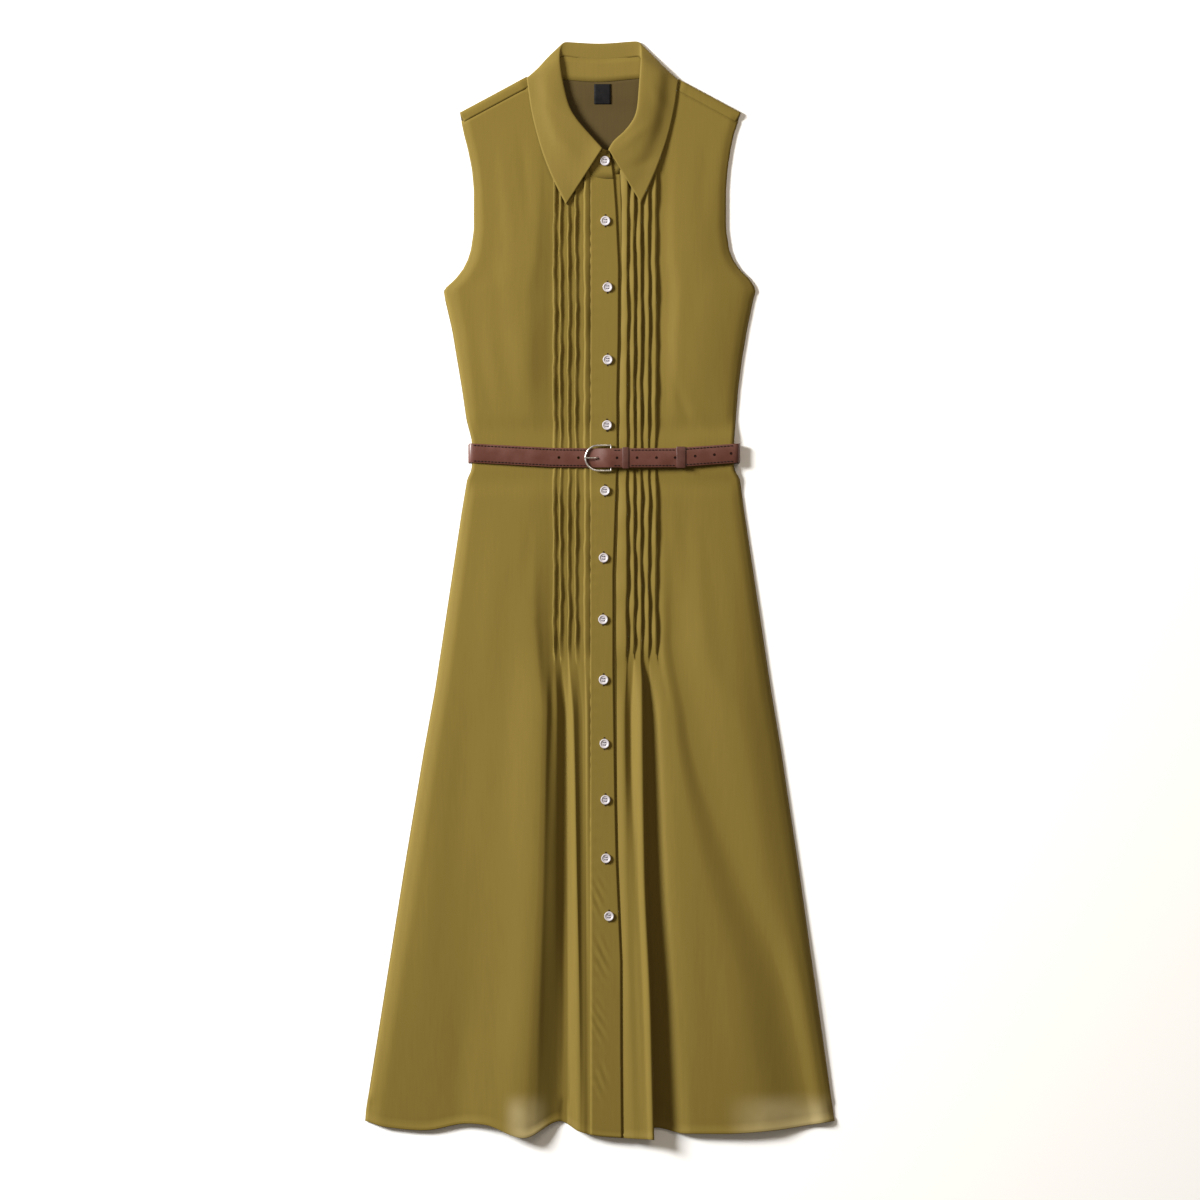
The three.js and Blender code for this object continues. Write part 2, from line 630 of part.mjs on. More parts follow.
// The wall of a panel that lies face up: its inner points lie square to each section's plain line
function laidWall(grid) {
  const steepest = 1.2; // slope past which the inner point moves no further
  const [sideways, thinnest] = [0.6, 0.92]; // shares of the wall, across and down
  const outer = grid.map((row) => row.map((p) => new THREE.Vector3(p.x, p.y, p.outer)));
  const inner = grid.map((row) =>
    row.map((p, i) => {
      const [a, b] = [row[Math.max(i - 1, 0)], row[Math.min(i + 1, row.length - 1)]];
      const slope = (b.plain - a.plain) / (b.x - a.x);
      const tilt = a === p || b === p ? 0 : THREE.MathUtils.clamp(slope, -steepest, steepest);
      const length = Math.hypot(1, tilt);
      const x = p.x + (sideways * CLOTH * tilt) / length;
      return new THREE.Vector3(x, p.y, p.plain - CLOTH * Math.max(1 / length, thinnest));
    }),
  );
  return wall(outer, inner);
}

// The wall round a grid of middle points, which may turn over on itself
function turnedWall(middle, thickness) {
  const [rows, columns] = [middle.length, middle[0].length];
  const normal = (r, c) => {
    const down = middle[Math.min(r + 1, rows - 1)][c].clone().sub(middle[Math.max(r - 1, 0)][c]);
    const across = middle[r][Math.min(c + 1, columns - 1)].clone().sub(middle[r][Math.max(c - 1, 0)]);
    return down.cross(across).normalize();
  };
  const moved = (distance) =>
    middle.map((row, r) => row.map((p, c) => p.clone().addScaledVector(normal(r, c), distance)));
  return wall(moved(thickness / 2), moved(-thickness / 2));
}

const solidOf = (geometry) => {
  const bare = geometry.clone();
  bare.deleteAttribute("normal");
  bare.deleteAttribute("uv");
  const merged = mergeVertices(bare, 1e-4);
  return new wasm.Manifold(
    new wasm.Mesh({
      numProp: 3,
      vertProperties: merged.attributes.position.array,
      triVerts: new Uint32Array(merged.index.array),
    }),
  );
};

const geometryOf = (solid) => {
  const mesh = solid.getMesh();
  const geometry = new THREE.BufferGeometry();
  geometry.setAttribute("position", new THREE.BufferAttribute(mesh.vertProperties, 3));
  geometry.setIndex(new THREE.BufferAttribute(mesh.triVerts, 1));
  return geometry;
};

// Back: one flat wall that rises over the strap and the collar leaf, with a turned edge on each shoulder
const BACK_COLUMNS = [
  { top: -167.6, share: 0 },
  { top: -144, share: 0.07 },
  { top: -116, share: 0.2 },
  { top: -93.5, share: 0.3 },
  { top: -84, share: 0.37 },
  { top: -46, share: 0.44 },
  { top: 0, share: 0.5 },
  { top: 47, share: 0.56 },
  { top: 86, share: 0.63 },
  { top: 99.5, share: 0.71 },
  { top: 124, share: 0.865 },
  { top: 148, share: 0.94 },
  { top: 168.2, share: 1 },
];
const BACK_FIRST_Y = 592; // first level row under the shoulders and neck
const BACK_LEVELS = [
  ...[BACK_FIRST_Y, 574, 545, 512, 479, 431, 400, 380, 359, 325, 275, 226, 203, 189, 177, 145, 132, 118],
  ...[100, 23, -60, -150, -250, -350, -450, -540, BACK_HEM_Y],
];

function backPanel() {
  const [edgeInset, topInset] = [0.4, 2];
  const blend = 112; // length in which the columns turn from the top's places to their shares
  const crowding = (level) => (BACK_FIRST_Y - level + 6) * 0.18; // keeps rows apart under a sloping top
  const rows = [BACK_COLUMNS.map(({ top }) => ({ x: top, y: backTopY(top) - topInset }))];
  for (const level of BACK_LEVELS) {
    rows.push(
      BACK_COLUMNS.map(({ top, share }, i) => {
        const y = Math.min(level, rows[0][i].y - crowding(level));
        const x = THREE.MathUtils.lerp(leftEdge(y) + edgeInset, rightEdge(y) - edgeInset, share);
        return { x: THREE.MathUtils.lerp(top, x, Math.min((BACK_FIRST_Y - level) / blend, 1)), y };
      }),
    );
  }
  const upper = rows.map((row) => row.map((p) => new THREE.Vector3(p.x, p.y, backLift(p.x, p.y) + CLOTH)));
  const lower = rows.map((row) => row.map((p) => new THREE.Vector3(p.x, p.y, backLift(p.x, p.y))));
  const sheet = solidOf(wall(upper, lower));
  const turns = [shoulderTurn(-1, -168.6, -93), shoulderTurn(1, 169.2, 99)];
  return geometryOf(turns.reduce((panel, turn) => panel.add(turn), sheet));
}

// The back's cloth turned forward over one shoulder, as a hooked section run along the fold
function shoulderTurn(side, tipX, neckX) {
  const hook = [
    { inward: 7, z: 0.2 },
    { inward: 1.4, z: 0 },
    { inward: 0.3, z: 0.9 },
    { inward: 0, z: SHOULDER_TOP / 2 },
    { inward: 0.3, z: SHOULDER_TOP - 0.9 },
    { inward: 1.4, z: SHOULDER_TOP },
    { inward: SHOULDER_WRAP, z: SHOULDER_TOP },
    { inward: SHOULDER_WRAP, z: SHOULDER_TOP - CLOTH },
    { inward: 2, z: SHOULDER_TOP - CLOTH },
    { inward: 1.2, z: SHOULDER_TOP / 2 },
    { inward: 2, z: CLOTH },
    { inward: 7, z: CLOTH - 0.2 },
  ];
  const inwards = { x: 0.47, y: 0.88 }; // square to the shoulder's slope
  const [steps, overlap, topShare] = [4, 0.8, 0.4];
  const rings = Array.from({ length: steps + 1 }, (_, i) => {
    const x = THREE.MathUtils.lerp(tipX, neckX, i / steps);
    const y = backTopY(x) + overlap;
    const lift = backLift(x, y);
    return hook.map((p) => {
      const raised = p.z < SHOULDER_TOP / 2 ? lift : lift * topShare;
      return new THREE.Vector3(x - side * inwards.x * p.inward, y - inwards.y * p.inward, p.z + raised);
    });
  });
  return solidOf(tubeFrom(rings));
}

// Closed rings of equal length joined along, with a flat face across each end
function tubeFrom(rings) {
  const count = rings[0].length;
  const points = rings.flat();
  const faces = [];
  for (let r = 0; r < rings.length - 1; r += 1) {
    for (let c = 0; c < count; c += 1) {
      const [a, b] = [r * count + c, r * count + ((c + 1) % count)];
      faces.push(a, b, b + count, a, b + count, a + count);
    }
  }
  const [origin, towards] = [rings[0][0], rings[0][1]];
  const across = towards.clone().sub(origin).normalize();
  const flat = rings[0].map((p) => {
    const from = p.clone().sub(origin);
    const sideways = from.dot(across);
    const up = from.clone().addScaledVector(across, -sideways);
    return new THREE.Vector2(sideways, Math.sign(up.z || 1) * up.length());
  });
  const last = (rings.length - 1) * count;
  for (const [a, b, c] of THREE.ShapeUtils.triangulateShape(flat, [])) {
    faces.push(a, c, b);
    faces.push(last + a, last + b, last + c);
  }
  return pointingOut(points, faces);
}

// Height of the front cloth under a place, the highest within a short reach of it
const panels = [leftLines, rightLines];
function frontTopAt(x, y, reach) {
  let highest = 0;
  for (const lines of panels) {
    for (const dy of [-reach, 0, reach]) {
      const row = lines.map((foldLine) => frontPoint(foldLine, y + dy));
      for (let i = 0; i < row.length - 1; i += 1) {
        const [a, b] = [row[i], row[i + 1]];
        if (b.x < x - reach || a.x > x + reach) continue;
        highest = Math.max(highest, a.outer, b.outer);
      }
    }
  }
  return highest;
}

// The two bands are made from the same heights, one moved down under the other
function band(leftX, rightX, drop) {
  const across = [0, 0.5, 1];
  const columns = across.map((share) => {
    const x = (y) => THREE.MathUtils.lerp(leftX(y), rightX(y), share);
    return line(x, (y) => bandHeight(y) - drop);
  });
  const grid = columns.map((column) => {
    const top = frontTopY(column.x(NECK_FRONT_Y)) - SEAM;
    const highest = Math.min(top, NECK_FRONT_Y - SEAM - PANEL_ROOM);
    return rowHeights(highest, hemY(column.x(ABOUT_HEM_Y))).map((y) => {
      const x = column.x(y);
      const pressed = lowestFront(x, y) + TOUCH + (drop ? 0 : LAYER);
      const height = THREE.MathUtils.lerp(Math.max(column.height(y), pressed), pressed, underBelt(y));
      return { x, y, plain: height, outer: height };
    });
  });
  return laidWall(grid[0].map((_, row) => grid.map((column) => column[row])));
}

const placketOver = () => band(bandLeft, bandOver, 0);
const placketUnder = () => band((y) => bandLeft(y) + 3, bandSeam, LAYER);

// Collar leaf: each section runs from the stand's edge over the roll to the outer edge
function collarLeaf() {
  const [reach, leastZ, spring] = [9, 5.3, 0.6]; // how the leaf bridges what it lies on
  const [rollWidth, rollRise, room] = [2.2, 1, 0.3];
  const middle = LEAF.map((section) => {
    const seam = new THREE.Vector3(...section.seam);
    const roll = new THREE.Vector3(...section.roll);
    const overlay = (x, y) =>
      Math.max(leastZ, frontTopAt(x, y, reach) + SEAM + COLLAR_CLOTH / 2 + room);
    const [edgeX, edgeY, edgeZ] = section.edge;
    const edge = new THREE.Vector3(edgeX, edgeY, edgeZ ?? overlay(edgeX, edgeY));
    const mid = section.mid
      ? new THREE.Vector3(...section.mid)
      : roll.clone().lerp(edge, 0.5);
    if (!section.mid) mid.z = overlay(mid.x, mid.y) + spring;
    const under = section.under ? new THREE.Vector3(...section.under) : mid.clone().lerp(edge, 0.5);
    const outward = mid.clone().sub(roll).setZ(0).normalize();
    const onSurface = mid.z < COLLAR_CLOTH; // the leaf's back part, under the back panel
    const beyond = roll.clone().addScaledVector(outward, rollWidth);
    beyond.z = edgeZ === undefined ? roll.z + rollRise : THREE.MathUtils.lerp(roll.z, mid.z, 0.5);
    if (onSurface) beyond.z = mid.z;
    const before = seam.clone().lerp(roll, 0.8);
    if (onSurface) before.z = seam.z;
    return [seam, before, roll, beyond, mid, under, edge];
  });
  return turnedWall(middle, COLLAR_CLOTH);
}

function collarStand() {
  const middle = STAND.map((section) => {
    const bottom = new THREE.Vector3(...section.bottom, section.z);
    const top = new THREE.Vector3(...section.top, section.z);
    return [bottom, top];
  });
  return turnedWall(middle, COLLAR_CLOTH);
}

// Neck label: a small folded tab hanging from the neck seam inside the back
function neckLabel() {
  const { x, top, width, length, thickness, leastLift } = LABEL;
  const tab = new THREE.BoxGeometry(width, length, thickness);
  tab.translate(x, top - length / 2, 0);
  const spots = tab.attributes.position;
  for (let i = 0; i < spots.count; i += 1) {
    const lift = Math.max(backLift(spots.getX(i), spots.getY(i)), leastLift);
    spots.setZ(i, spots.getZ(i) + lift + CLOTH + SEAM + thickness / 2);
  }
  return geometryOf(solidOf(tab));
}

// Section of a shirt button, in shares of its radius and thickness
const BUTTON_PROFILE = [
  { out: 0, up: 0 },
  { out: 0.86, up: 0 },
  { out: 1, up: 0.45 },
  { out: 0.93, up: 1 },
  { out: 0.74, up: 1 },
  { out: 0.62, up: 0.62 },
  { out: 0, up: 0.62 },
];

// A flat shirt button with a raised rim and a shallow dish
function button() {
  const profile = BUTTON_PROFILE.map(
    ({ out, up }) => new THREE.Vector2(out * BUTTON_RADIUS, up * BUTTON_THICKNESS),
  );
  const dish = new THREE.LatheGeometry(profile, 14);
  dish.rotateX(Math.PI / 2);
  return geometryOf(solidOf(dish));
}

// Belt strap: a flat section carried along its route, punched with round holes where one layer shows
function beltStrap() {
  const [sharpest, levelling] = [0.7, 0.6]; // least share of a mitre, and how level the hidden run lies
  const rings = STRAP_ROUTE.map((spot, i) => {
    const before = STRAP_ROUTE[Math.max(i - 1, 0)];
    const after = STRAP_ROUTE[Math.min(i + 1, STRAP_ROUTE.length - 1)];
    const into = new THREE.Vector2(spot.x - before.x, spot.z - before.z).normalize();
    const out = new THREE.Vector2(after.x - spot.x, after.z - spot.z).normalize();
    const square = into.clone().add(out).normalize();
    const isEnd = i === 0 || i === STRAP_ROUTE.length - 1;
    const half = STRAP_THICKNESS / 2 / (isEnd ? 1 : Math.max(square.dot(out), sharpest));
    const behind = spot.z < SHOULDER_CLOTH_Z;
    const y = behind ? THREE.MathUtils.lerp(strapY(spot.x), STRAP_Y, levelling) : strapY(spot.x);
    const corner = (side, edge) => {
      const [x, z] = [spot.x - side * square.y * half, spot.z + side * square.x * half];
      return new THREE.Vector3(x, y + edge * (STRAP_WIDTH / 2), z);
    };
    return [corner(1, 1), corner(-1, 1), corner(-1, -1), corner(1, -1)];
  });
  const upper = along(TOP_RUN, "x", "z");
  const holes = HOLES.map((x) => {
    const punch = new THREE.CylinderGeometry(HOLE_RADIUS, HOLE_RADIUS, STRAP_THICKNESS + 0.5, ROUND_SIDES);
    punch.rotateX(Math.PI / 2);
    punch.translate(x, strapY(x), upper(x));
    return solidOf(punch);
  });
  return geometryOf(holes.reduce((strap, hole) => strap.subtract(hole), solidOf(tubeFrom(rings))));
}

// A keeper: a flat loop round both layers of the strap
function keeper({ x, width }) {
  const room = 0.3;
  const low = along(FIRST_RUN, "x", "z")(x) - STRAP_THICKNESS / 2 - room;
  const high = along(TOP_RUN, "x", "z")(x) + STRAP_THICKNESS / 2 + room;
  const [halfWidth, wallSide] = [STRAP_WIDTH / 2 + 2.5 * room, KEEPER_WALL];
  const box = (w, a, b) => {
    const shape = new THREE.Shape();
    shape.moveTo(-w, a);
    shape.lineTo(w, a);
    shape.lineTo(w, b);
    shape.lineTo(-w, b);
    return shape;
  };
  const shape = box(halfWidth + wallSide, low - wallSide, high + wallSide);
  shape.holes.push(box(halfWidth, low, high));
  const loop = new THREE.ExtrudeGeometry(shape, { depth: width, bevelEnabled: false });
  loop.rotateX(Math.PI / 2).rotateZ(Math.PI / 2);
  loop.translate(x - width / 2, strapY(x), 0);
  return geometryOf(solidOf(loop));
}

// A round bar bent along a path
function bent(spots, radius, steps) {
  const path = new THREE.CatmullRomCurve3(spots.map((p) => new THREE.Vector3(...p)));
  const section = new THREE.Shape();
  section.absarc(0, 0, radius, 0, Math.PI * 2);
  const making = { steps, curveSegments: ROUND_SIDES / 2, extrudePath: path, bevelEnabled: false };
  return solidOf(new THREE.ExtrudeGeometry(section, making));
}

function buckleFrame() {
  const middleY = strapY(BUCKLE_BAR_X);
  const [w, centreX, sideX] = [BUCKLE_HALF_WIDTH, BUCKLE_ROUND_X, BUCKLE_SIDE_X];
  const half = [
    [BUCKLE_BAR_X, w, BUCKLE_BAR_Z],
    [sideX, w, BUCKLE_BAR_Z + 0.3],
    [centreX, w, BUCKLE_FRONT_Z - 0.2],
    [centreX - w * 0.5, w * 0.866, BUCKLE_FRONT_Z],
    [centreX - w * 0.866, w * 0.5, BUCKLE_FRONT_Z],
  ];
  const spots = [
    ...half,
    [centreX - w, 0, BUCKLE_FRONT_Z],
    ...half.map(([x, y, z]) => [x, -y, z]).reverse(),
  ].map(([x, y, z]) => [x, middleY + y, z]);
  const bow = bent(spots, BUCKLE_WIRE_RADIUS, 26);
  const bar = new THREE.CylinderGeometry(BUCKLE_BAR_RADIUS, BUCKLE_BAR_RADIUS, 2 * w, 10);
  bar.translate(BUCKLE_BAR_X, middleY, 0);
  const spot = bar.attributes.position;
  for (let i = 0; i < spot.count; i += 1) spot.setZ(i, spot.getZ(i) + BUCKLE_BAR_Z);
  return geometryOf(bow.add(solidOf(bar)));
}

// The prong: an eye round the bar, a shank up through the hole and along to rest on the bow
function buckleProng() {
  const y = strapY(BUCKLE_BAR_X);
  const [x, z] = [BUCKLE_BAR_X, BUCKLE_BAR_Z];
  const eyeInner = BUCKLE_BAR_RADIUS + SEAM;
  const ring = new THREE.Shape();
  ring.absarc(0, 0, eyeInner + 0.9, 0, Math.PI * 2);
  const hole = new THREE.Path();
  hole.absarc(0, 0, eyeInner, 0, Math.PI * 2);
  ring.holes.push(hole);
  const eye = new THREE.ExtrudeGeometry(ring, { depth: 2, curveSegments: 6, bevelEnabled: false });
  eye.rotateX(Math.PI / 2).translate(x, y + 1, z);
  const start = { along: eyeInner + 0.6, up: -0.5 };
  const spots = [start, ...PRONG_PATH].map(({ along: reach, up }) => [x - reach, y, z + up]);
  return geometryOf(bent(spots, PRONG_RADIUS, 22).add(solidOf(eye)));
}

const cloth = { color: 0x94803f, roughness: 0.75, metalness: 0 };
const finishes = {
  cloth,
  collar: { ...cloth, color: 0x968443 },
  label: { color: 0x23211f, roughness: 0.7, metalness: 0 },
  pearl: { color: 0xe9e4d8, roughness: 0.25, metalness: 0 },
  leather: { color: 0x6b3d31, roughness: 0.5, metalness: 0 },
  steel: { color: 0xc9cccf, roughness: 0.2, metalness: 1 },
};

const dress = new THREE.Group();
dress.name = "shirt_dress";
function piece(name, geometry, finish) {
  const mesh = new THREE.Mesh(geometry, new THREE.MeshStandardMaterial(finishes[finish]));
  mesh.name = name;
  dress.add(mesh);
  return mesh;
}

piece("back_panel", backPanel(), "cloth");
piece("front_right", laidWall(frontGrid(leftLines)), "cloth");
piece("front_left", laidWall(frontGrid(rightLines)), "cloth");
piece("placket_over", placketOver(), "cloth");
piece("placket_under", placketUnder(), "cloth");
piece("collar_leaf", collarLeaf(), "collar");
piece("collar_stand", collarStand(), "collar");
piece("neck_label", neckLabel(), "label");
BUTTONS.forEach(({ x, y }, i) => {
  const placed = piece(`button_${String(i + 1).padStart(2, "0")}`, button(), "pearl");
  const under = i === 0 ? STAND[0].z + COLLAR_CLOTH / 2 : bandHeight(y) + TOUCH;
  placed.position.set(x, y, under + SEAM);
});
piece("belt_strap", beltStrap(), "leather");
KEEPERS.forEach((spot, i) => piece(`belt_keeper_${i + 1}`, keeper(spot), "leather"));
piece("buckle_frame", buckleFrame(), "steel");
piece("buckle_prong", buckleProng(), "steel");

export default dress;
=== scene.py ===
import math
from bisect import bisect_right

import bmesh
import bpy
from mathutils import Matrix, Vector
from mathutils.bvhtree import BVHTree


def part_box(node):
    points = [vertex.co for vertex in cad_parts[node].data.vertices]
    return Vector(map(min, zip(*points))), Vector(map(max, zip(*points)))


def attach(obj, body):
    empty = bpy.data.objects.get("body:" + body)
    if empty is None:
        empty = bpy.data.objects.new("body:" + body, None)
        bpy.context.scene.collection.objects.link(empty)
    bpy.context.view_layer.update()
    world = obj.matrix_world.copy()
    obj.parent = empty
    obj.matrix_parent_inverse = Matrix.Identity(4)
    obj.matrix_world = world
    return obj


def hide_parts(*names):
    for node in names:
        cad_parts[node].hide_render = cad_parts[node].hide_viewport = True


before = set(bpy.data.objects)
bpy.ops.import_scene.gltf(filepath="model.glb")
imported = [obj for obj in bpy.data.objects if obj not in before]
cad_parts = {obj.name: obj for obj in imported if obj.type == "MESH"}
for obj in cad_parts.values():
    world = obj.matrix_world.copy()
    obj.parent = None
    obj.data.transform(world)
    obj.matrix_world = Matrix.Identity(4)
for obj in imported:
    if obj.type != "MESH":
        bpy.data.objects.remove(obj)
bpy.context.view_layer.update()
mm = 0.001

print("frame loaded")

# Tables of the dress, the same places as its solids have, in millimetres
cut = {
    "shell": 0.4,  # what the cloth looks like in thickness, the solids hold more
    "clothWall": 1.1,
    "seam": 0.3,
    "backHemY": -612.0,
    "hemMargin": 3.0,
    "tuckRise": 2.6,
    "tuckRiseUnderBelt": 1.3,
    "tuckEndY": -58.0,
    "tuckFade": 34.0,
    "tuckEase": 20.0,  # the waver starts to fade this far above the tucks' end, the overhang as far below
    "strapY": 161.0,
    "strapWidth": 23.0,
    "strapMargin": 2.5,
    "strapSlope": 34.0,
    "beltY": 159.0,
    "beltHold": (17, 50),  # the belt holds the cloth down this far from its middle, and lets go by that
    "neckLift": 1.5,
    "panelRoom": 0.1,
    "shoulderZ": 5.0,
    "waistZ": 4.9,
    "underarmY": 359.0,
    "tuckWidth": 4.2,  # from a left tuck's edge to its stitching
    "tucked": 1.6,  # how far a front runs on under its band
    "underBand": 0.5,
    "neckTuckIn": 3.0,  # how far the fronts run on under the collar stand
    "neckHalf": 74.0,
}
layer = cut["clothWall"] + cut["seam"]

sideEdges = [  # y, left, right
    (571, -168.6, 169.2), (545, -163.2, 160.5), (527, -158.4, 156.6), (503, -153.6, 153.0),
    (479, -151.4, 151.2), (431, -151.4, 151.2), (407, -154.8, 154.8), (395, -158.6, 159.6),
    (383, -164.6, 167.5), (371, -174.2, 180.0), (359, -187.8, 187.2), (347, -186.0, 184.0),
    (311, -177.6, 176.4), (275, -171.6, 170.4), (239, -165.6, 165.8), (203, -160.4, 163.0),
    (178, -153.8, 160.8), (144, -153.8, 160.8), (131, -159.6, 168.0), (95, -165.6, 172.8),
    (23, -176.4, 183.6), (-49, -187.2, 194.4), (-121, -198.0, 205.2), (-193, -211.2, 217.2),
    (-337, -235.2, 238.8), (-481, -258.0, 259.2), (-625, -280.8, 279.6), (-641, -282.0, 282.0),
]
hemLine = [  # x, y
    (-282, -638), (-254, -645.6), (-211, -649.2), (-158, -640.8), (-139, -642), (-91, -657.6),
    (-48, -638.4), (-24, -650.4), (5, -656.4), (62.4, -658.8), (66, -646), (101, -652.8),
    (149, -652.8), (206, -649.2), (282, -638),
]
frontTop = [  # x, y
    (-169, 559.2), (-92, 600.4), (-75, 604), (-71, 598), (-61, 565), (-41, 537.6), (-20, 511),
    (-11, 496), (4, 493), (20, 493), (30, 508), (52, 530), (70, 563), (76, 598), (80, 602),
    (98, 597), (170, 559.0),
]
backTop = [  # x, y
    (-168.6, 570.4), (-93, 611.0), (-90, 603), (-80, 602), (-68, 606), (-46, 612.4), (-6.6, 607.4),
    (47, 613.6), (72, 604), (86, 599), (96, 600), (99, 607.0), (169.2, 570.4),
]
stations = [560, 300, 161, -59, -157, -337, -500, -650]  # shoulder, bust, waist, hip, thigh, knee, calf, hem

# Broad folds between the side edge and the outermost tuck
leftSideFolds = [  # share across, and height, at each station
    ([0.1, 0.14, 0.12, 0.12, 0.12, 0.12, 0.1, 0.1], [4.6, 6.5, 5, 8, 8, 8.5, 8, 5]),
    ([0.3, 0.25, 0.25, 0.33, 0.3, 0.33, 0.5, 0.5], [4.6, 6.8, 5, 8.5, 8.5, 9, 8, 5]),
    ([0.55, 0.55, 0.55, 0.58, 0.6, 0.62, 0.68, 0.68], [4.6, 9, 5.2, 9.5, 10, 10.4, 10.6, 9.5]),
    ([0.84, 0.74, 0.74, 0.83, 0.92, 0.93, 0.91, 0.89], [4.6, 9.5, 5.5, 11, 15.5, 17, 17, 14.5]),
    ([0.92, 0.88, 0.88, 0.91, 0.968, 0.97, 0.96, 0.95], [4.6, 7.2, 5.2, 8, 14.4, 16.2, 15.6, 12.6]),
]
rightSideFolds = [
    ([0.12, 0.1, 0.1, 0.07, 0.04, 0.2, 0.42, 0.48], [4.6, 5.5, 5, 6.5, 9.2, 11.5, 12.5, 10.5]),
    ([0.3, 0.25, 0.25, 0.15, 0.16, 0.45, 0.76, 0.83], [4.6, 8.5, 5.2, 5.4, 6.8, 7.2, 5.6, 3.2]),
    ([0.55, 0.5, 0.5, 0.5, 0.64, 0.74, 0.89, 0.92], [4.6, 9.5, 5.2, 10.5, 12, 11.5, 9, 5.5]),
    ([0.88, 0.86, 0.86, 0.88, 0.88, 0.9, 0.95, 0.96], [4.6, 7, 5, 8, 8, 8, 7, 4.5]),
]

# Tucks: the stitched fold edge down to the hip, then both sides of the pleat that opens from it
leftTucks = [
    {"stitched": -55.2, "bust": 5.2, "hip": 5.5, "foot": [-59, -63, -66, -69], "footRise": [11, 14, 12, 9.4],
     "edge": [-51.5, -53, -54.5, -57], "edgeRise": [9.6, 9.8, 7, 5]},
    {"stitched": -48, "bust": 5.4, "hip": 5.2, "foot": [-44.5, -43.5, -42.5, -44.5],
     "footRise": [3.4, 2.8, 2, 1.3], "edge": [-41.5, -40, -39, -40], "edgeRise": [2.9, 2.6, 2, 1.2]},
    {"stitched": -38.4, "bust": 5.6, "hip": 5.2, "foot": [-37, -34.5, -33.5, -33.5],
     "footRise": [5.5, 5.5, 6, 4.5], "edge": [-32, -28, -25, -23.4], "edgeRise": [9.8, 10.4, 10.6, 9.5]},
    {"stitched": -29.6, "bust": 5.8, "hip": 5.6, "foot": [-25, -24, -21, -19.5],
     "footRise": [6.5, 7.5, 9, 9.5], "edge": [-21, -19.5, -18, -17.5], "edgeRise": [6, 6.8, 8.4, 9.2]},
    {"stitched": -18.6, "bust": 6, "hip": 6, "foot": [-17.8, -17, -16, -15.8], "footRise": [6.5, 6.6, 8, 8.8],
     "edge": [-15.2, -14.6, -14.2, -14], "edgeRise": [8, 7.2, 8, 8.6]},
]
rightTucks = [
    {"stitched": 32.8, "bust": 5, "hip": 5.4, "edge": [28.8, 32, 36, 40], "edgeRise": [8, 10, 11, 12],
     "foot": [33.5, 37, 42, 47], "footRise": [5.5, 10, 11.5, 13]},
    {"stitched": 41.2, "bust": 4.9, "hip": 5.3, "edge": [36.6, 41, 47, 52], "edgeRise": [4.2, 10, 12.5, 14],
     "foot": [42, 45.5, 52, 57], "footRise": [8, 11, 13.5, 15.5]},
    {"stitched": 49.6, "bust": 4.8, "hip": 5.2, "edge": [49, 51, 58, 61.6], "edgeRise": [13, 16, 19, 19],
     "foot": [54.5, 56.5, 62.5, 65.6], "footRise": [3.6, 3.4, 3, 1.8], "overhang": 3.2},
    {"stitched": 58.6, "bust": 4.7, "hip": 5.1, "edge": [60, 65, 72, 80], "edgeRise": [3.2, 3, 3, 1.4],
     "foot": [66, 73, 81, 89], "footRise": [4.8, 4.2, 3.8, 2.4]},
    {"stitched": 67.6, "bust": 4.6, "hip": 5, "edge": [74, 82, 92, 99], "edgeRise": [8, 8, 7.5, 6],
     "foot": [84, 95, 106, 110], "footRise": [9, 10, 9.5, 8.5]},
]
bands = [  # y, left edge, edge of the upper band, seam of the lower band, height
    (494, -12.3, 16.6, 25, 6.6), (456, -12.3, 19.4, 26.4, 6.6), (385, -12.3, 22.8, 26.4, 6.6),
    (300, -12.3, 22.2, 25.6, 6.6), (230, -12.3, 20.6, 23.4, 6.4), (161, -12.3, 21.0, 24, 6.2),
    (20, -12.3, 15.8, 19.4, 6.8), (-97, -12.3, 15.8, 19.4, 7), (-252, -12.2, 18, 21, 7.6),
    (-324, -12, 19.7, 22.6, 8), (-446, -11.6, 25.2, 27.4, 9), (-560, -11.6, 25.4, 27.8, 9.4),
    (-660, -11.6, 26.4, 28.4, 9.6),
]


def clamp(value, low=0.0, high=1.0):
    return max(low, min(high, value))


def mix(a, b, share):
    return a + (b - a) * share


def smooth(value, low, high):
    t = clamp((value - low) / (high - low))
    return t * t * (3 - 2 * t)


def tableLine(rows, source, target):  # straight lines between the rows
    ordered = sorted((row[source], row[target]) for row in rows)
    keys = [row[0] for row in ordered]

    def read(t):
        i = int(clamp(bisect_right(keys, t), 1, len(keys) - 1))
        (a, va), (b, vb) = ordered[i - 1], ordered[i]
        return mix(va, vb, clamp((t - a) / (b - a)))

    return read


def softLine(keys, values):  # a curve through the values that never swings past them
    steps = [(values[i + 1] - values[i]) / (keys[i + 1] - keys[i]) for i in range(len(keys) - 1)]
    slopes = [steps[0]]
    for a, b in zip(steps, steps[1:]):
        slopes.append(0 if a * b <= 0 else 2 * a * b / (a + b))
    slopes.append(steps[-1])

    def read(t):
        i = int(clamp(bisect_right(keys, t) - 1, 0, len(keys) - 2))
        span = keys[i + 1] - keys[i]
        u = clamp((t - keys[i]) / span)
        return ((2 * u**3 - 3 * u**2 + 1) * values[i] + (u**3 - 2 * u**2 + u) * span * slopes[i]
                + (3 * u**2 - 2 * u**3) * values[i + 1] + (u**3 - u**2) * span * slopes[i + 1])

    return read


def throughStations(values):
    return softLine(stations[::-1], values[::-1])


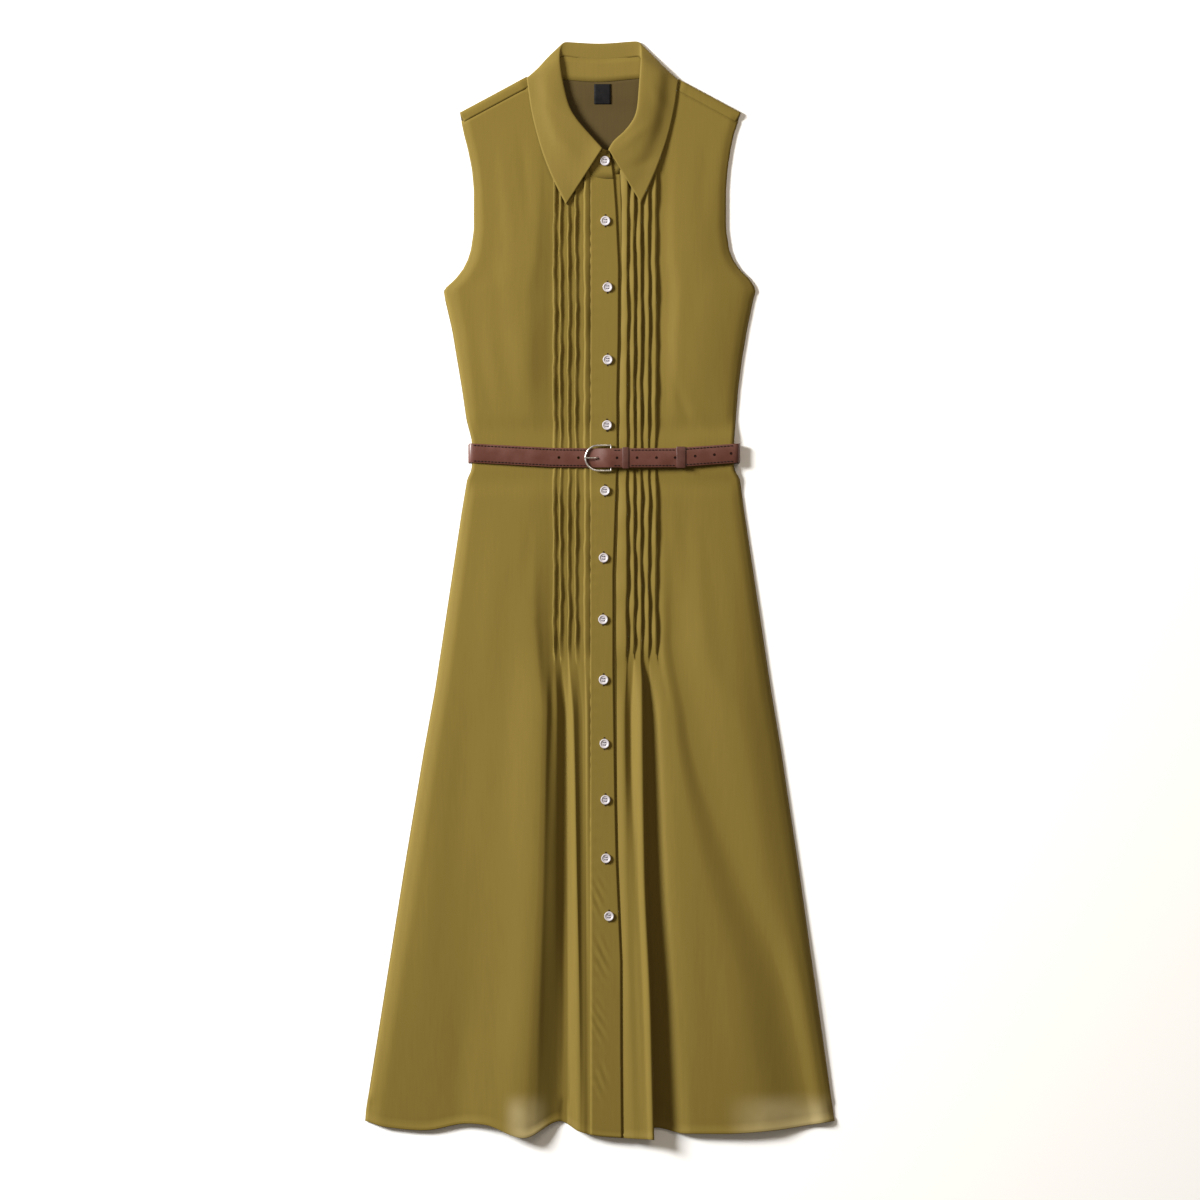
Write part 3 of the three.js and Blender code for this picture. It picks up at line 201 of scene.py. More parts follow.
leftEdge = tableLine(sideEdges, 0, 1)
rightEdge = tableLine(sideEdges, 0, 2)
hemY = softLine([x for x, _ in hemLine], [y for _, y in hemLine])
frontTopY = tableLine(frontTop, 0, 1)
backTopY = tableLine(backTop, 0, 1)
bandLeft = tableLine(bands, 0, 1)
bandOver = tableLine(bands, 0, 2)
bandSeam = tableLine(bands, 0, 3)
bandHeight = tableLine(bands, 0, 4)


# The back is lifted by the strap that runs behind it, doubled from doubledX on, and by the collar at the neck
lift = {"strap": 2.3, "doubled": 4.6, "doubledX": 70, "growsOver": 48, "neckY": (574, 592),
        "neckX": (92, 110)}


def backLift(x, y):
    strap = mix(lift["strap"], lift["doubled"], clamp((x - lift["doubledX"]) / lift["growsOver"]))
    away = abs(y - cut["strapY"]) - (cut["strapWidth"] / 2 + cut["strapMargin"])
    byStrap = strap * (1 - smooth(away, 0, cut["strapSlope"]))
    overLeaf = smooth(y, *lift["neckY"]) * (1 - smooth(abs(x), *lift["neckX"]))
    return max(byStrap, cut["neckLift"] * overLeaf)


def lowestFront(x, y):
    under = backLift(x, y) + layer if y > cut["backHemY"] - cut["hemMargin"] else 0
    return under + cut["clothWall"] + cut["panelRoom"]


def underBelt(y):  # 1 under the belt, 0 where the cloth is free of it
    return 1 - smooth(abs(y - cut["beltY"]), *cut["beltHold"])


def stitchedRise(y):
    open_ = smooth(cut["tuckEndY"] - y, 0, cut["tuckFade"])
    return (1 - open_) * mix(cut["tuckRise"], cut["tuckRiseUnderBelt"], underBelt(y))


print("tables read")


# Each tuck wavers at its own lengths, so that no two run alike, and the left ones are the more puckered
waver = {"slow": 0.45, "middling": 0.4, "quickLeft": 0.42, "quickRight": 0.2, "unevenRise": 0.28}


# Fold lines: each gives x, plain height and the rise of a stitched fold at y
def tuckWaver(y, turn):
    slow = waver["slow"] * math.sin(y / (23 + 3 * (turn % 5)) + 1.3 * turn)
    middling = waver["middling"] * math.sin(y / (8.3 + 1.1 * (turn % 4)) + 2.1 * turn)
    middling *= math.sin(y / 37 + turn)
    quick = waver["quickLeft" if turn < len(leftTucks) else "quickRight"]
    quick *= math.sin(y / (3.6 + 0.5 * (turn % 3)) + 3.7 * turn) * math.sin(y / 19 + 2 * turn)
    return slow + middling + quick


def tuckHeld(y):  # 1 where the tucks are stitched, 0 where the pleats hang open
    return 1 - smooth(cut["tuckEndY"] + cut["tuckEase"] - y, 0, cut["tuckFade"])


def foldLine(x, height, rise=None, step=0.0, tuck=None, overhang=0.0):
    return {"x": x, "height": height, "rise": rise or (lambda y: 0.0), "step": step, "tuck": tuck,
            "overhang": overhang}


def tuckFoldLine(tuck, part, offset, turn, step, overhang=0.0):
    x = throughStations([tuck["stitched"]] * 4 + tuck[part])
    heights = [cut["shoulderZ"], tuck["bust"], cut["waistZ"], tuck["hip"]] + tuck[part + "Rise"]
    height = throughStations(heights)

    def place(y):
        return x(y) + tuckHeld(y) * (offset + tuckWaver(y, turn))

    def rise(y):  # no tuck stands evenly along its length
        uneven = math.sin(y / (9 + turn % 5) + 2 * turn) * math.sin(y / 31 + turn)
        return stitchedRise(y) * (1 + waver["unevenRise"] * uneven)

    return foldLine(place, height, rise if part == "edge" else None, step, turn, overhang)


# A left tuck lies over to the left, so its top runs down to the stitching a little to the right of its edge
def tuckRoot(edge, following):
    def place(y):
        return mix(mix(edge["x"](y), following["x"](y), 0.5), edge["x"](y) + cut["tuckWidth"], tuckHeld(y))

    return foldLine(place, lambda y: mix(edge["height"](y), following["height"](y), 0.5))


def sideFoldLine(fold, edgeX, outerTuck):
    share, height = [throughStations(values) for values in fold]

    def place(y):
        a, b = (edgeX(y), outerTuck["x"](y)) if edgeX is leftEdge else (outerTuck["x"](y), edgeX(y))
        return mix(a, b, share(y))

    return foldLine(place, height)


# step is the way a stitched fold leans: the cloth runs back under its fold edge
def tuckPair(tuck, turn, sign):  # overhang does the same for the one open pleat that stays folded to the hem
    edge = tuckFoldLine(tuck, "edge", 0.5 * sign, turn, -1.3 * sign, tuck.get("overhang", 0.0))
    foot = tuckFoldLine(tuck, "foot", -0.5 * sign, turn, 1.5 * sign, -tuck.get("overhang", 0.0))
    return edge, foot


leftEnd = foldLine(lambda y: bandLeft(y) + cut["tucked"], lambda y: bandHeight(y) - cut["underBand"])
leftPairs = [tuckPair(tuck, turn, 1) for turn, tuck in enumerate(leftTucks)]
leftTuckLines = []
for (edge, foot), following in zip(leftPairs, [pair[1] for pair in leftPairs[1:]] + [leftEnd]):
    leftTuckLines += [foot, edge] + ([tuckRoot(edge, following)] if following is not leftEnd else [])
rightTuckLines = [line for turn, tuck in enumerate(rightTucks, 5) for line in tuckPair(tuck, turn, -1)]
leftLines = (
    [foldLine(leftEdge, lambda y: 0.0)]
    + [sideFoldLine(fold, leftEdge, leftTuckLines[0]) for fold in leftSideFolds]
    + leftTuckLines
    + [leftEnd]
)
rightLines = (
    [foldLine(lambda y: bandSeam(y) - cut["tucked"], lambda y: bandHeight(y) - layer - cut["underBand"])]
    + rightTuckLines
    + [sideFoldLine(fold, rightEdge, rightTuckLines[-1]) for fold in rightSideFolds]
    + [foldLine(rightEdge, lambda y: 0.0)]
)

# Creases, listed: soft ridges (size over 0) and troughs, in millimetres
creases = [  # from, to, size, width
    ((-96, 330), (-88, 200), 0.9, 13), ((-128, 420), (-112, 250), -0.6, 10),
    ((-120, 545), (-104, 395), 0.5, 8), ((-96, 560), (-84, 430), -0.5, 6),
    ((-138, 330), (-118, 205), 0.6, 9), ((100, 440), (90, 240), 0.6, 12),
    ((132, 560), (118, 420), -0.5, 9), ((104, 225), (140, 180), 0.5, 6), ((84, 262), (112, 186), -0.6, 6),
    ((-120, 100), (-142, -160), 0.7, 16), ((-80, 120), (-86, -20), -0.6, 9),
    ((-150, -100), (-176, -380), -0.8, 17), ((-190, -250), (-222, -560), 0.9, 18),
    ((-120, -230), (-128, -520), 0.7, 15), ((-165, -450), (-175, -640), -0.7, 14),
    ((88, 130), (96, -30), 0.7, 10), ((120, 110), (150, -130), -0.7, 13), ((150, 60), (186, -220), 0.6, 14),
    ((196, -260), (232, -520), -0.8, 16), ((100, -330), (122, -600), 0.6, 12),
    ((150, -420), (180, -640), 0.7, 16), ((222, -420), (252, -620), 0.7, 12),
]


def creaseAt(x, y, rows):
    total = 0.0
    for (ax, ay), (bx, by), size, width in rows:
        dx, dy = bx - ax, by - ay
        length = math.hypot(dx, dy)
        t = ((x - ax) * dx + (y - ay) * dy) / length**2
        if not 0 < t < 1:
            continue
        away = ((x - ax) * dy - (y - ay) * dx) / length / width
        if abs(away) < 3:
            total += size * math.exp(-away * away) * math.sin(math.pi * t) ** 1.3
    return total


def sectionAt(lines, y):
    xs, zs = [], []
    for line in lines:
        x = line["x"](y)
        lowest = lowestFront(x, y)
        plain = mix(max(line["height"](y), lowest), lowest + 0.05, underBelt(y))
        xs.append(x)
        zs.append(plain + line["rise"](y))
    return xs, softLine(xs, zs)


# A narrow turned hem: a thicker strip with a row of stitching above it
hem = {"nearY": -645, "thicker": 0.6, "strip": (4.2, 5.4), "stitchY": 6.2, "stitchWide": 1.1,
       "stitchDeep": 0.55}


def hemRelief(up):
    stitch = math.exp(-((up - hem["stitchY"]) / hem["stitchWide"]) ** 2)
    return hem["thicker"] * (1 - smooth(up, *hem["strip"])) - hem["stitchDeep"] * stitch


# The front's net: closest between the tucks and at the hem's relief
front = {"rows": 216, "closeRows": [0.994, 0.9955, 0.9968, 0.998, 0.999, 1.0], "narrowGap": 12,
         "acrossTuck": 4, "spacing": 5.5, "acrossFold": (5, 16), "sideX": 100, "seamLift": 0.55,
         "seamEase": (14, 12)}


def frontPoints(lines):
    counts = []
    for a, b in zip(lines, lines[1:]):
        gap = max(abs(b["x"](y) - a["x"](y)) for y in stations)
        wide = int(clamp(gap / front["spacing"], *front["acrossFold"]))
        counts.append(front["acrossTuck"] if gap < front["narrowGap"] else wide)
    spots = [(i, k / n) for i, n in enumerate(counts) for k in range(n)] + [(len(lines) - 2, 1.0)]
    cache = {}

    def section(y):
        key = round(y * 2)
        if key not in cache:
            cache[key] = sectionAt(lines, key / 2)
        return cache[key]

    grid = []
    columns = []
    for i, share in spots:
        a, b = lines[i], lines[i + 1]
        y = 540.0  # near the top, then nearer to where the fold line meets it each time
        for _ in range(6):
            x = mix(a["x"](y), b["x"](y), share)
            y = frontTopY(x)
        low = hemY(mix(a["x"](hem["nearY"]), b["x"](hem["nearY"]), share))
        tuckIn = cut["neckTuckIn"] * (1 - smooth(abs(x), cut["neckHalf"] - 6, cut["neckHalf"]))
        columns.append((i, share, y + tuckIn, low))
    evenRows = [r / front["rows"] * front["closeRows"][0] for r in range(front["rows"])]
    for part in evenRows + front["closeRows"][1:]:
        row = []
        for i, share, top, low in columns:
            y = mix(top, low, part)
            xs, height = section(y)
            x = mix(xs[i], xs[i + 1], share)
            z = height(x) + creaseAt(x, y, creases) * (1 - underBelt(y))
            z = max(z, lowestFront(x, y)) + hemRelief(y - low)
            # the side seam meets the back's edge
            if abs(x) > front["sideX"] and i + share in (0, len(lines) - 1):
                sewn = smooth(cut["underarmY"] - y, 0, front["seamEase"][0])
                sewn *= smooth(y - cut["backHemY"], 0, front["seamEase"][1])
                z = mix(z, backLift(x, y) + front["seamLift"], sewn)
            stood = stitchedRise(y) / cut["tuckRise"]
            opened = smooth(cut["tuckEndY"] - cut["tuckEase"] - y, 0, cut["tuckFade"])
            leanA, leanB = [stood * line["step"] + opened * line["overhang"] for line in lines[i:i + 2]]
            a, b = lines[i], lines[i + 1]
            if a["tuck"] is not None and a["tuck"] == b["tuck"]:
                x += mix(leanA, leanB, share)
            else:  # the lean dies away from the fold on both sides of the plain cloth between
                x += leanA * clamp(1 - 2.5 * share) + leanB * clamp(2.5 * share - 1.5)
            row.append((x, y, z))
        grid.append(row)
    return grid


# Turns a grid of places in millimetres into a smooth sheet with its own flat map in metres
def sheetFrom(name, grid, thickness=0.0, offset=-1.0):
    rows, columns = len(grid), len(grid[0])
    mesh = bpy.data.meshes.new(name)
    verts = [Vector(p) * mm for row in grid for p in row]
    faces = []
    for r in range(rows - 1):
        for c in range(columns - 1):
            a = r * columns + c
            faces.append((a, a + columns, a + columns + 1, a + 1))
    mesh.from_pydata(verts, [], faces)
    across = [0.0]
    middle = grid[rows // 2]
    for p, q in zip(middle, middle[1:]):
        across.append(across[-1] + math.dist(p, q) * mm)
    flat = mesh.uv_layers.new(name="flat")
    for loop in mesh.loops:
        r, c = divmod(loop.vertex_index, columns)
        flat.data[loop.index].uv = (across[c], verts[loop.vertex_index].y)
    piece = bpy.data.objects.new(name, mesh)
    bpy.context.collection.objects.link(piece)
    upward = sum(poly.normal.z * poly.area for poly in mesh.polygons)
    if upward < 0:
        mesh.flip_normals()
    mesh.shade_smooth()
    if thickness:
        shell = piece.modifiers.new("shell", "SOLIDIFY")
        shell.thickness = thickness * mm
        shell.offset = offset
        applyAll(piece)
    return piece


def pickOnly(piece):
    bpy.ops.object.select_all(action="DESELECT")
    piece.select_set(True)
    bpy.context.view_layer.objects.active = piece


def applyAll(piece):
    pickOnly(piece)
    for modifier in list(piece.modifiers):
        bpy.ops.object.modifier_apply(modifier=modifier.name)


def settle(piece, material, slot, *nodes):
    piece.data.materials.clear()
    piece.data.materials.append(material)
    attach(piece, "root")
    if nodes:
        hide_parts(*nodes)
    return piece


# Materials
def linear(code):
    parts = [int(code[i:i + 2], 16) / 255 for i in (1, 3, 5)]
    return tuple(v / 12.92 if v <= 0.04045 else ((v + 0.055) / 1.055) ** 2.4 for v in parts) + (1.0,)


def addNode(tree, kind, links=None, **settings):
    made = tree.nodes.new(kind)
    for key, value in settings.items():
        if key.startswith("in_"):
            made.inputs[key[3:].replace("_", " ")].default_value = value
        else:
            setattr(made, key, value)
    for socket, source in (links or {}).items():
        tree.links.new(source, made.inputs[socket])
    return made


def newMaterial(name, code, roughness, **settings):
    material = bpy.data.materials.new(name)
    material.use_nodes = True
    tree = material.node_tree
    shader = tree.nodes["Principled BSDF"]
    shader.inputs["Base Color"].default_value = linear(code)
    shader.inputs["Roughness"].default_value = roughness
    for key, value in settings.items():
        shader.inputs[key.replace("_", " ")].default_value = value
    return material, tree, shader


# Fine plain woven cloth: matt with a soft sheen, faint slubs along the warp, paler where it lies alone
clothLook = {"light": "#715f22", "dark": "#69581e", "hem": "#96875c", "slubMm": 2.4, "slubRun": 28,
             "threadMm": 0.9, "threadRun": 100, "sheer": 0.9, "raggedMm": 42, "patchY": (-0.598, -0.628),
             "leftPatch": ((-0.12, -0.096), (-0.056, -0.08)), "rightPatch": ((0.145, 0.2), (0.29, 0.262))}


def wovenCloth(name, light, dark):
    material, tree, shader = newMaterial(name, light, 0.74, Sheen_Weight=0.04, Sheen_Roughness=0.5,
                                         Specular_IOR_Level=0.22)
    place = addNode(tree, "ShaderNodeTexCoord").outputs["Object"]
    slubScale = (1000 / clothLook["slubMm"], clothLook["slubRun"], clothLook["slubRun"])
    warp = addNode(tree, "ShaderNodeMapping", {"Vector": place}, in_Scale=slubScale)
    slub = addNode(tree, "ShaderNodeTexNoise", {"Vector": warp.outputs["Vector"]}, in_Scale=1.0,
                   in_Detail=3.0)
    colour = addNode(tree, "ShaderNodeMix", {"Factor": slub.outputs["Fac"]}, data_type="RGBA")
    colour.inputs[6].default_value = linear(dark)
    colour.inputs[7].default_value = linear(light)
    # where a single layer lies past the back's hem, in two stretches, the pale surface shows through
    axes = addNode(tree, "ShaderNodeSeparateXYZ", {"Vector": place})

    def window(axis, reach, share=1.0):  # from nothing to its full share
        ranged = addNode(tree, "ShaderNodeMapRange", {"Value": axes.outputs[axis]},
                         interpolation_type="SMOOTHSTEP", in_From_Min=reach[0], in_From_Max=reach[1],
                         in_To_Min=0.0, in_To_Max=share)
        return ranged.outputs["Result"]

    def combine(operation, a, b):
        made = addNode(tree, "ShaderNodeMath", operation=operation)
        tree.links.new(a, made.inputs[0])
        tree.links.new(b, made.inputs[1])
        return made.outputs[0]

    leftPatch, rightPatch = [combine("MULTIPLY", window("X", near), window("X", far))
                             for near, far in (clothLook["leftPatch"], clothLook["rightPatch"])]
    whole = combine("MULTIPLY", window("Y", clothLook["patchY"], clothLook["sheer"]),
                    combine("ADD", leftPatch, rightPatch))
    ragged = addNode(tree, "ShaderNodeTexNoise", {"Vector": place}, in_Scale=1000 / clothLook["raggedMm"])
    uneven = addNode(tree, "ShaderNodeMapRange", {"Value": ragged.outputs["Fac"]}, in_From_Min=0.32,
                     in_From_Max=0.6, in_To_Min=0.68, in_To_Max=1.0)
    patches = combine("MULTIPLY", whole, uneven.outputs["Result"])
    sheer = addNode(tree, "ShaderNodeMix", {"Factor": patches}, data_type="RGBA")
    tree.links.new(colour.outputs[2], sheer.inputs[6])
    sheer.inputs[7].default_value = linear(clothLook["hem"])
    tree.links.new(sheer.outputs[2], shader.inputs["Base Color"])
    # one thread is too fine to show, so the weave is drawn threadMm apart
    perMetre = 1000 / clothLook["threadMm"]
    threads = addNode(tree, "ShaderNodeMapping", {"Vector": place},
                      in_Scale=(perMetre, perMetre, clothLook["threadRun"]))
    weave = addNode(tree, "ShaderNodeTexNoise", {"Vector": threads.outputs["Vector"]}, in_Scale=1.0)
    bump = addNode(tree, "ShaderNodeBump", {"Height": weave.outputs["Fac"]}, in_Strength=0.12,
                   in_Distance=0.0002)
    tree.links.new(bump.outputs["Normal"], shader.inputs["Normal"])
    return material


cloth = wovenCloth("wovenCloth", clothLook["light"], clothLook["dark"])
collarCloth = wovenCloth("collarCloth", "#736126", "#6c5b22")  # two layers, so a shade paler
# The wrong side of the cloth, where it shows inside the neck: a little duller, and painted much darker as the
# shade that falls there
wrongSidePaintedShade = wovenCloth("clothWrongSidePaintedShade", "#4a3c1a", "#433617")

# A finish with two near colours and a relief: cloudMm across the colour's clouds, grainMm across the relief
def clouded(name, light, dark, roughness, cloudMm, grainMm, relief, stretch=(1, 1, 1), **settings):
    material, tree, shader = newMaterial(name, light, roughness, **settings)
    place = addNode(tree, "ShaderNodeTexCoord").outputs["Object"]
    clouds = addNode(tree, "ShaderNodeTexNoise", {"Vector": place}, in_Scale=1000 / cloudMm, in_Detail=3.0)
    colours = addNode(tree, "ShaderNodeMix", {"Factor": clouds.outputs["Fac"]}, data_type="RGBA")
    colours.inputs[6].default_value = linear(dark)
    colours.inputs[7].default_value = linear(light)
    tree.links.new(colours.outputs[2], shader.inputs["Base Color"])
    wear = addNode(tree, "ShaderNodeMapRange", {"Value": clouds.outputs["Fac"]}, in_From_Min=0.3,
                   in_From_Max=0.7, in_To_Min=roughness * 0.85, in_To_Max=min(roughness * 1.2, 1.0))
    tree.links.new(wear.outputs["Result"], shader.inputs["Roughness"])
    drawn = addNode(tree, "ShaderNodeMapping", {"Vector": place}, in_Scale=stretch)
    grain = addNode(tree, "ShaderNodeTexVoronoi", {"Vector": drawn.outputs["Vector"]},
                    in_Scale=1000 / grainMm)
    bump = addNode(tree, "ShaderNodeBump", {"Height": grain.outputs["Distance"]}, in_Strength=relief,
                   in_Distance=0.0002)
    tree.links.new(bump.outputs["Normal"], shader.inputs["Normal"])
    return material


# Smooth cowhide, dyed and rolled: low gloss, fine pores, a little darker where the dye took more
leather = clouded("smoothLeather", "#5e352a", "#48261c", 0.4, 16, 1.1, 0.2)
# The keepers are cut from thinner hide, folded; their colour is a shade darker than the strap's, painted
# shade that tones down the light on their raised faces
keeperLeatherPaintedShade = clouded("keeperLeatherPaintedShade", "#4f2c23", "#40221a", 0.42, 9, 1.1, 0.2)
# Waxed polyester thread, nearly as dark as the dye gets
waxedThread = clouded("waxedThread", "#22100b", "#180a07", 0.7, 3, 0.6, 0.2, (4, 1, 1),
                      Specular_IOR_Level=0.2)
# Polyester with pearl pigment, turned from a rod: clouds of pearl and a hard polish
pearl = clouded("pearlyPolyester", "#c3bec0", "#a8a2a6", 0.3, 4, 1.6, 0.04, Coat_Weight=0.3)
# Nickel plate on a bent steel wire, polished: dulled by handling in patches
nickel = clouded("nickelPlate", "#f0efec", "#dcdbd8", 0.3, 5, 0.8, 0.03, (0.3, 1, 1), Metallic=1.0)
# Damask-woven polyester tape, black and bare: matt, close ribs
tape = clouded("wovenTape", "#100f10", "#0a090a", 0.85, 6, 0.7, 0.35, (0.25, 1, 1), Specular_IOR_Level=0.2)
# Spun polyester sewing thread in the buttonholes, darker than the cloth, and lilac-grey on the buttons
sewingThread = clouded("sewingThread", "#3a2a12", "#2a1c0c", 0.8, 2, 0.5, 0.4, (1, 3, 1),
                       Specular_IOR_Level=0.2)
buttonThread = clouded("buttonThread", "#6a6774", "#545160", 0.75, 2, 0.4, 0.3, Specular_IOR_Level=0.2)
print("materials made")

# Back panel: one sheet from its neck and shoulders to its own hem
backNet = {"rows": 190, "columns": 72, "topX": (-168.2, 168.8), "topInset": 1, "sideInset": 0.4}


def backPoints():
    grid = []
    for r in range(backNet["rows"] + 1):
        row = []
        for c in range(backNet["columns"] + 1):
            share = c / backNet["columns"]
            topX = mix(*backNet["topX"], share)
            # in the neck it runs on under the stand
            inNeck = 1 - smooth(abs(topX), cut["neckHalf"] - 8, cut["neckHalf"])
            top = backTopY(topX) - backNet["topInset"] + cut["neckTuckIn"] * inNeck
            y = mix(top, cut["backHemY"], r / backNet["rows"])
            x = mix(leftEdge(y) + backNet["sideInset"], rightEdge(y) - backNet["sideInset"], share)
            row.append((x, y, backLift(x, y) + cut["clothWall"]))
        grid.append(row)
    return grid


back = settle(sheetFrom("back_sheet", backPoints(), cut["clothWall"]), cloth, "cloth", "back_panel")
back.data.materials.append(wrongSidePaintedShade)
# the back's upper faces, inside the dress, take that painted shade
for face in back.data.polygons:
    face.material_index = 1 if face.normal.z > 0.2 else 0

# The back's cloth comes over each shoulder and ends at the seam on the front
shoulder = {"top": 4.6, "slopeX": 0.47, "slopeY": 0.88, "raise": 0.4, "steps": 40, "rise": 0.537,
            "taper": 0.86, "low": 0.62, "over": 0.05, "laidOver": (4, 10), "laidUntil": (0.8, 0.95)}
shoulderSection = [  # inward from the fold, height
    (8, 0.6), (3, 0.5), (1.2, 0.5), (0.4, 1.1), (0, 2.1), (0.3, 3.2), (1.6, 4.1), (4, 4.6), (7, 4.8),
    (10, 4.85), (12.4, 4.85),
]


def shoulderPoints(side, tipX, neckX):  # the last part dives under the collar
    grid = []
    tipY = backTopY(tipX) + 0.8
    lines = leftLines if side < 0 else rightLines
    for step in range(shoulder["steps"] + 1):
        part = step / shoulder["steps"]
        x = mix(tipX, neckX, part)
        y = tipY + shoulder["rise"] * abs(x - tipX)
        under = backLift(x, y)
        sunk = mix(1, shoulder["low"], smooth(part, shoulder["taper"], 1))
        row = []
        for inward, z in shoulderSection:
            spotX, spotY = x - side * shoulder["slopeX"] * inward, y - shoulder["slopeY"] * inward
            z = (z + under * (1 if z < shoulder["top"] / 2 else shoulder["raise"])) * sunk
            onFront = max(sectionAt(lines, spotY)[1](spotX), lowestFront(spotX, spotY)) + shoulder["over"]
            laid = smooth(inward, *shoulder["laidOver"]) * (1 - smooth(part, *shoulder["laidUntil"]))
            row.append((spotX, spotY, mix(z, onFront, laid)))
        grid.append(row)
    return grid


for side, tipX, neckX in ((-1, -168.6, -88), (1, 169.2, 94)):
    name = "shoulder_turn_left" if side < 0 else "shoulder_turn_right"
    turned = settle(sheetFrom(name, shoulderPoints(side, tipX, neckX), cut["shell"], 0),
                    cloth, "cloth", "back_panel")
print("back laid")

frontRight = settle(sheetFrom("front_right_sheet", frontPoints(leftLines), cut["shell"]),
                    cloth, "cloth", "front_right")
frontLeft = settle(sheetFrom("front_left_sheet", frontPoints(rightLines), cut["shell"]),
                   cloth, "cloth", "front_left")
print("fronts laid")

# Bands: the upper one puckers along its seam, most below the last button
placket = {"rows": 420, "columns": 18, "topY": 497.0, "pucker": 0.26, "lowPucker": 0.9, "puckerLength": 15.0,
           "edgeStitch": 1.8, "edgeRoll": 0.55}


def bandPoints(leftX, rightX, drop):
    grid = []
    for r in range(placket["rows"] + 1):
        row = []
        for c in range(placket["columns"] + 1):
            share = c / placket["columns"]
            low = hemY(mix(leftX(hem["nearY"]), rightX(hem["nearY"]), share))
            y = mix(placket["topY"], low, r / placket["rows"])
            x = mix(leftX(y), rightX(y), share)
            pressed = lowestFront(x, y) + 0.05 + (0 if drop else layer)
            z = mix(max(bandHeight(y) - drop, pressed), pressed, underBelt(y))
            if not drop:
                z += puckerAt(x, y, share) * (1 - underBelt(y))
                inside = x - leftX(y)
                z += 0.12 * math.exp(-((inside - placket["edgeStitch"]) / 0.9) ** 2)
                z -= placket["edgeRoll"] * math.exp(-((inside / 0.8) ** 2)) * (1 - underBelt(y))
            row.append((x, y, z + hemRelief(y - low)))
        grid.append(row)
    return grid


def puckerAt(x, y, share):
    phase = 2 * math.pi * y / placket["puckerLength"]
    nearSeam = math.exp(-((share - 0.08) / 0.22) ** 2)
    uneven = 0.55 + 0.45 * math.sin(y / 43 + 1.1) * math.sin(y / 17.3)
    small = placket["pucker"] * nearSeam * uneven * math.sin(phase + math.sin(y / 31) * 2 + share * 3)
    below = smooth(-y, 300, 380) * (1 - smooth(-y, 560, 640))
    slanting = math.sin((y + 1.5 * x) / 2.9 + 2.4 * math.sin(y / 26)) * (0.5 + 0.5 * math.sin(y / 12.1 + 0.4))
    middle = 0.3 + 0.07 * math.sin(y / 19)
    return small + placket["lowPucker"] * below * slanting * math.exp(-((share - middle) / 0.17) ** 2)


bandOverSheet = settle(sheetFrom("placket_over_sheet", bandPoints(bandLeft, bandOver, 0), cut["shell"]),
                       cloth, "cloth", "placket_over")
bandUnderSheet = settle(
    sheetFrom("placket_under_sheet", bandPoints(lambda y: bandLeft(y) + 3, bandSeam, layer), cut["shell"]),
    cloth, "cloth", "placket_under")
print("bands laid")

# Collar: sections from the stand's edge over the roll to the outer edge, places as the solids have them
collar = {"thickness": 1.0, "standThickness": 0.8, "along": 9, "across": 6, "acrossStand": 4, "passes": 2,
          "edgeInset": 1.5, "overSeam": 1.6, "endsOverSeam": 2.6, "underLeaf": 2.4, "endLift": 0.8,
          "onBack": 0.8, "seamDrop": 0.45, "rightRoll": 8.0, "leftRoll": 2.6}
leafSections = [  # seam, roll, (mid, under), edge
    ((2.4, 525.4, 7.2), (2.8, 527.4, 8.1), (-40.8, 460.5)),
    ((-10, 537, 6.6), (-7.8, 539.6, 7.5), (-48, 474)),
    ((-26, 555, 5.6), (-24, 557.4, 6.5), (-58.8, 495.6)),
    ((-39.6, 574, 5), (-37.4, 576, 5.9), (-70.8, 526.8)),
    ((-47, 605, 4.4), (-44.4, 606, 5.3), (-82.8, 572.4)),
    ((-50.5, 628, 3.9), (-48.4, 632, 4.8), (-87.4, 609.5)),
    ((-49, 637.6, 3), (-48.6, 646, 4), (-71, 627.6, 4.6), (-80, 621, 4.2), (-88.6, 614.4, 3.4)),
    ((-44, 639.6, 2.2), (-44.6, 656.6, 2.4), (-66, 636, 2.6), (-63, 630, 0.6), (-82, 603, 0.5)),
    ((-34, 638, 2.1), (-34, 656.2, 1.3), (-42, 646, 0.5), (-45, 625, 0.5), (-50, 597, 0.5)),
    ((0, 633, 2.1), (0, 654, 1.3), (0, 646, 0.5), (0, 622, 0.5), (0, 596, 0.5)),
    ((34, 637, 2.1), (34, 656.8, 1.3), (42, 646, 0.5), (45, 625, 0.5), (50, 597, 0.5)),
    ((46, 639, 2.2), (48.4, 657.6, 2.4), (68, 636, 2.6), (66, 630, 0.6), (88, 600, 0.5)),
    ((49.4, 637.6, 3), (49.6, 646, 4), (74, 628.4, 4.6), (85, 620, 4.2), (95, 611.4, 3.4)),
    ((51, 628, 3.9), (49.2, 632, 4.8), (93.4, 606.5)),
    ((49.4, 603.6, 4.4), (46.8, 603.6, 5.3), (91, 582)),
    ((46.8, 565.4, 5), (44.6, 567, 5.9), (82, 542.4)),
    ((31, 544.6, 5.6), (29, 547, 6.5), (69, 505)),
    ((18.6, 535, 6.6), (16.4, 537.4, 7.5), (57.6, 478.8)),
    ((10.6, 524.4, 7.2), (10.2, 526.4, 8.1), (49.2, 462)),
]
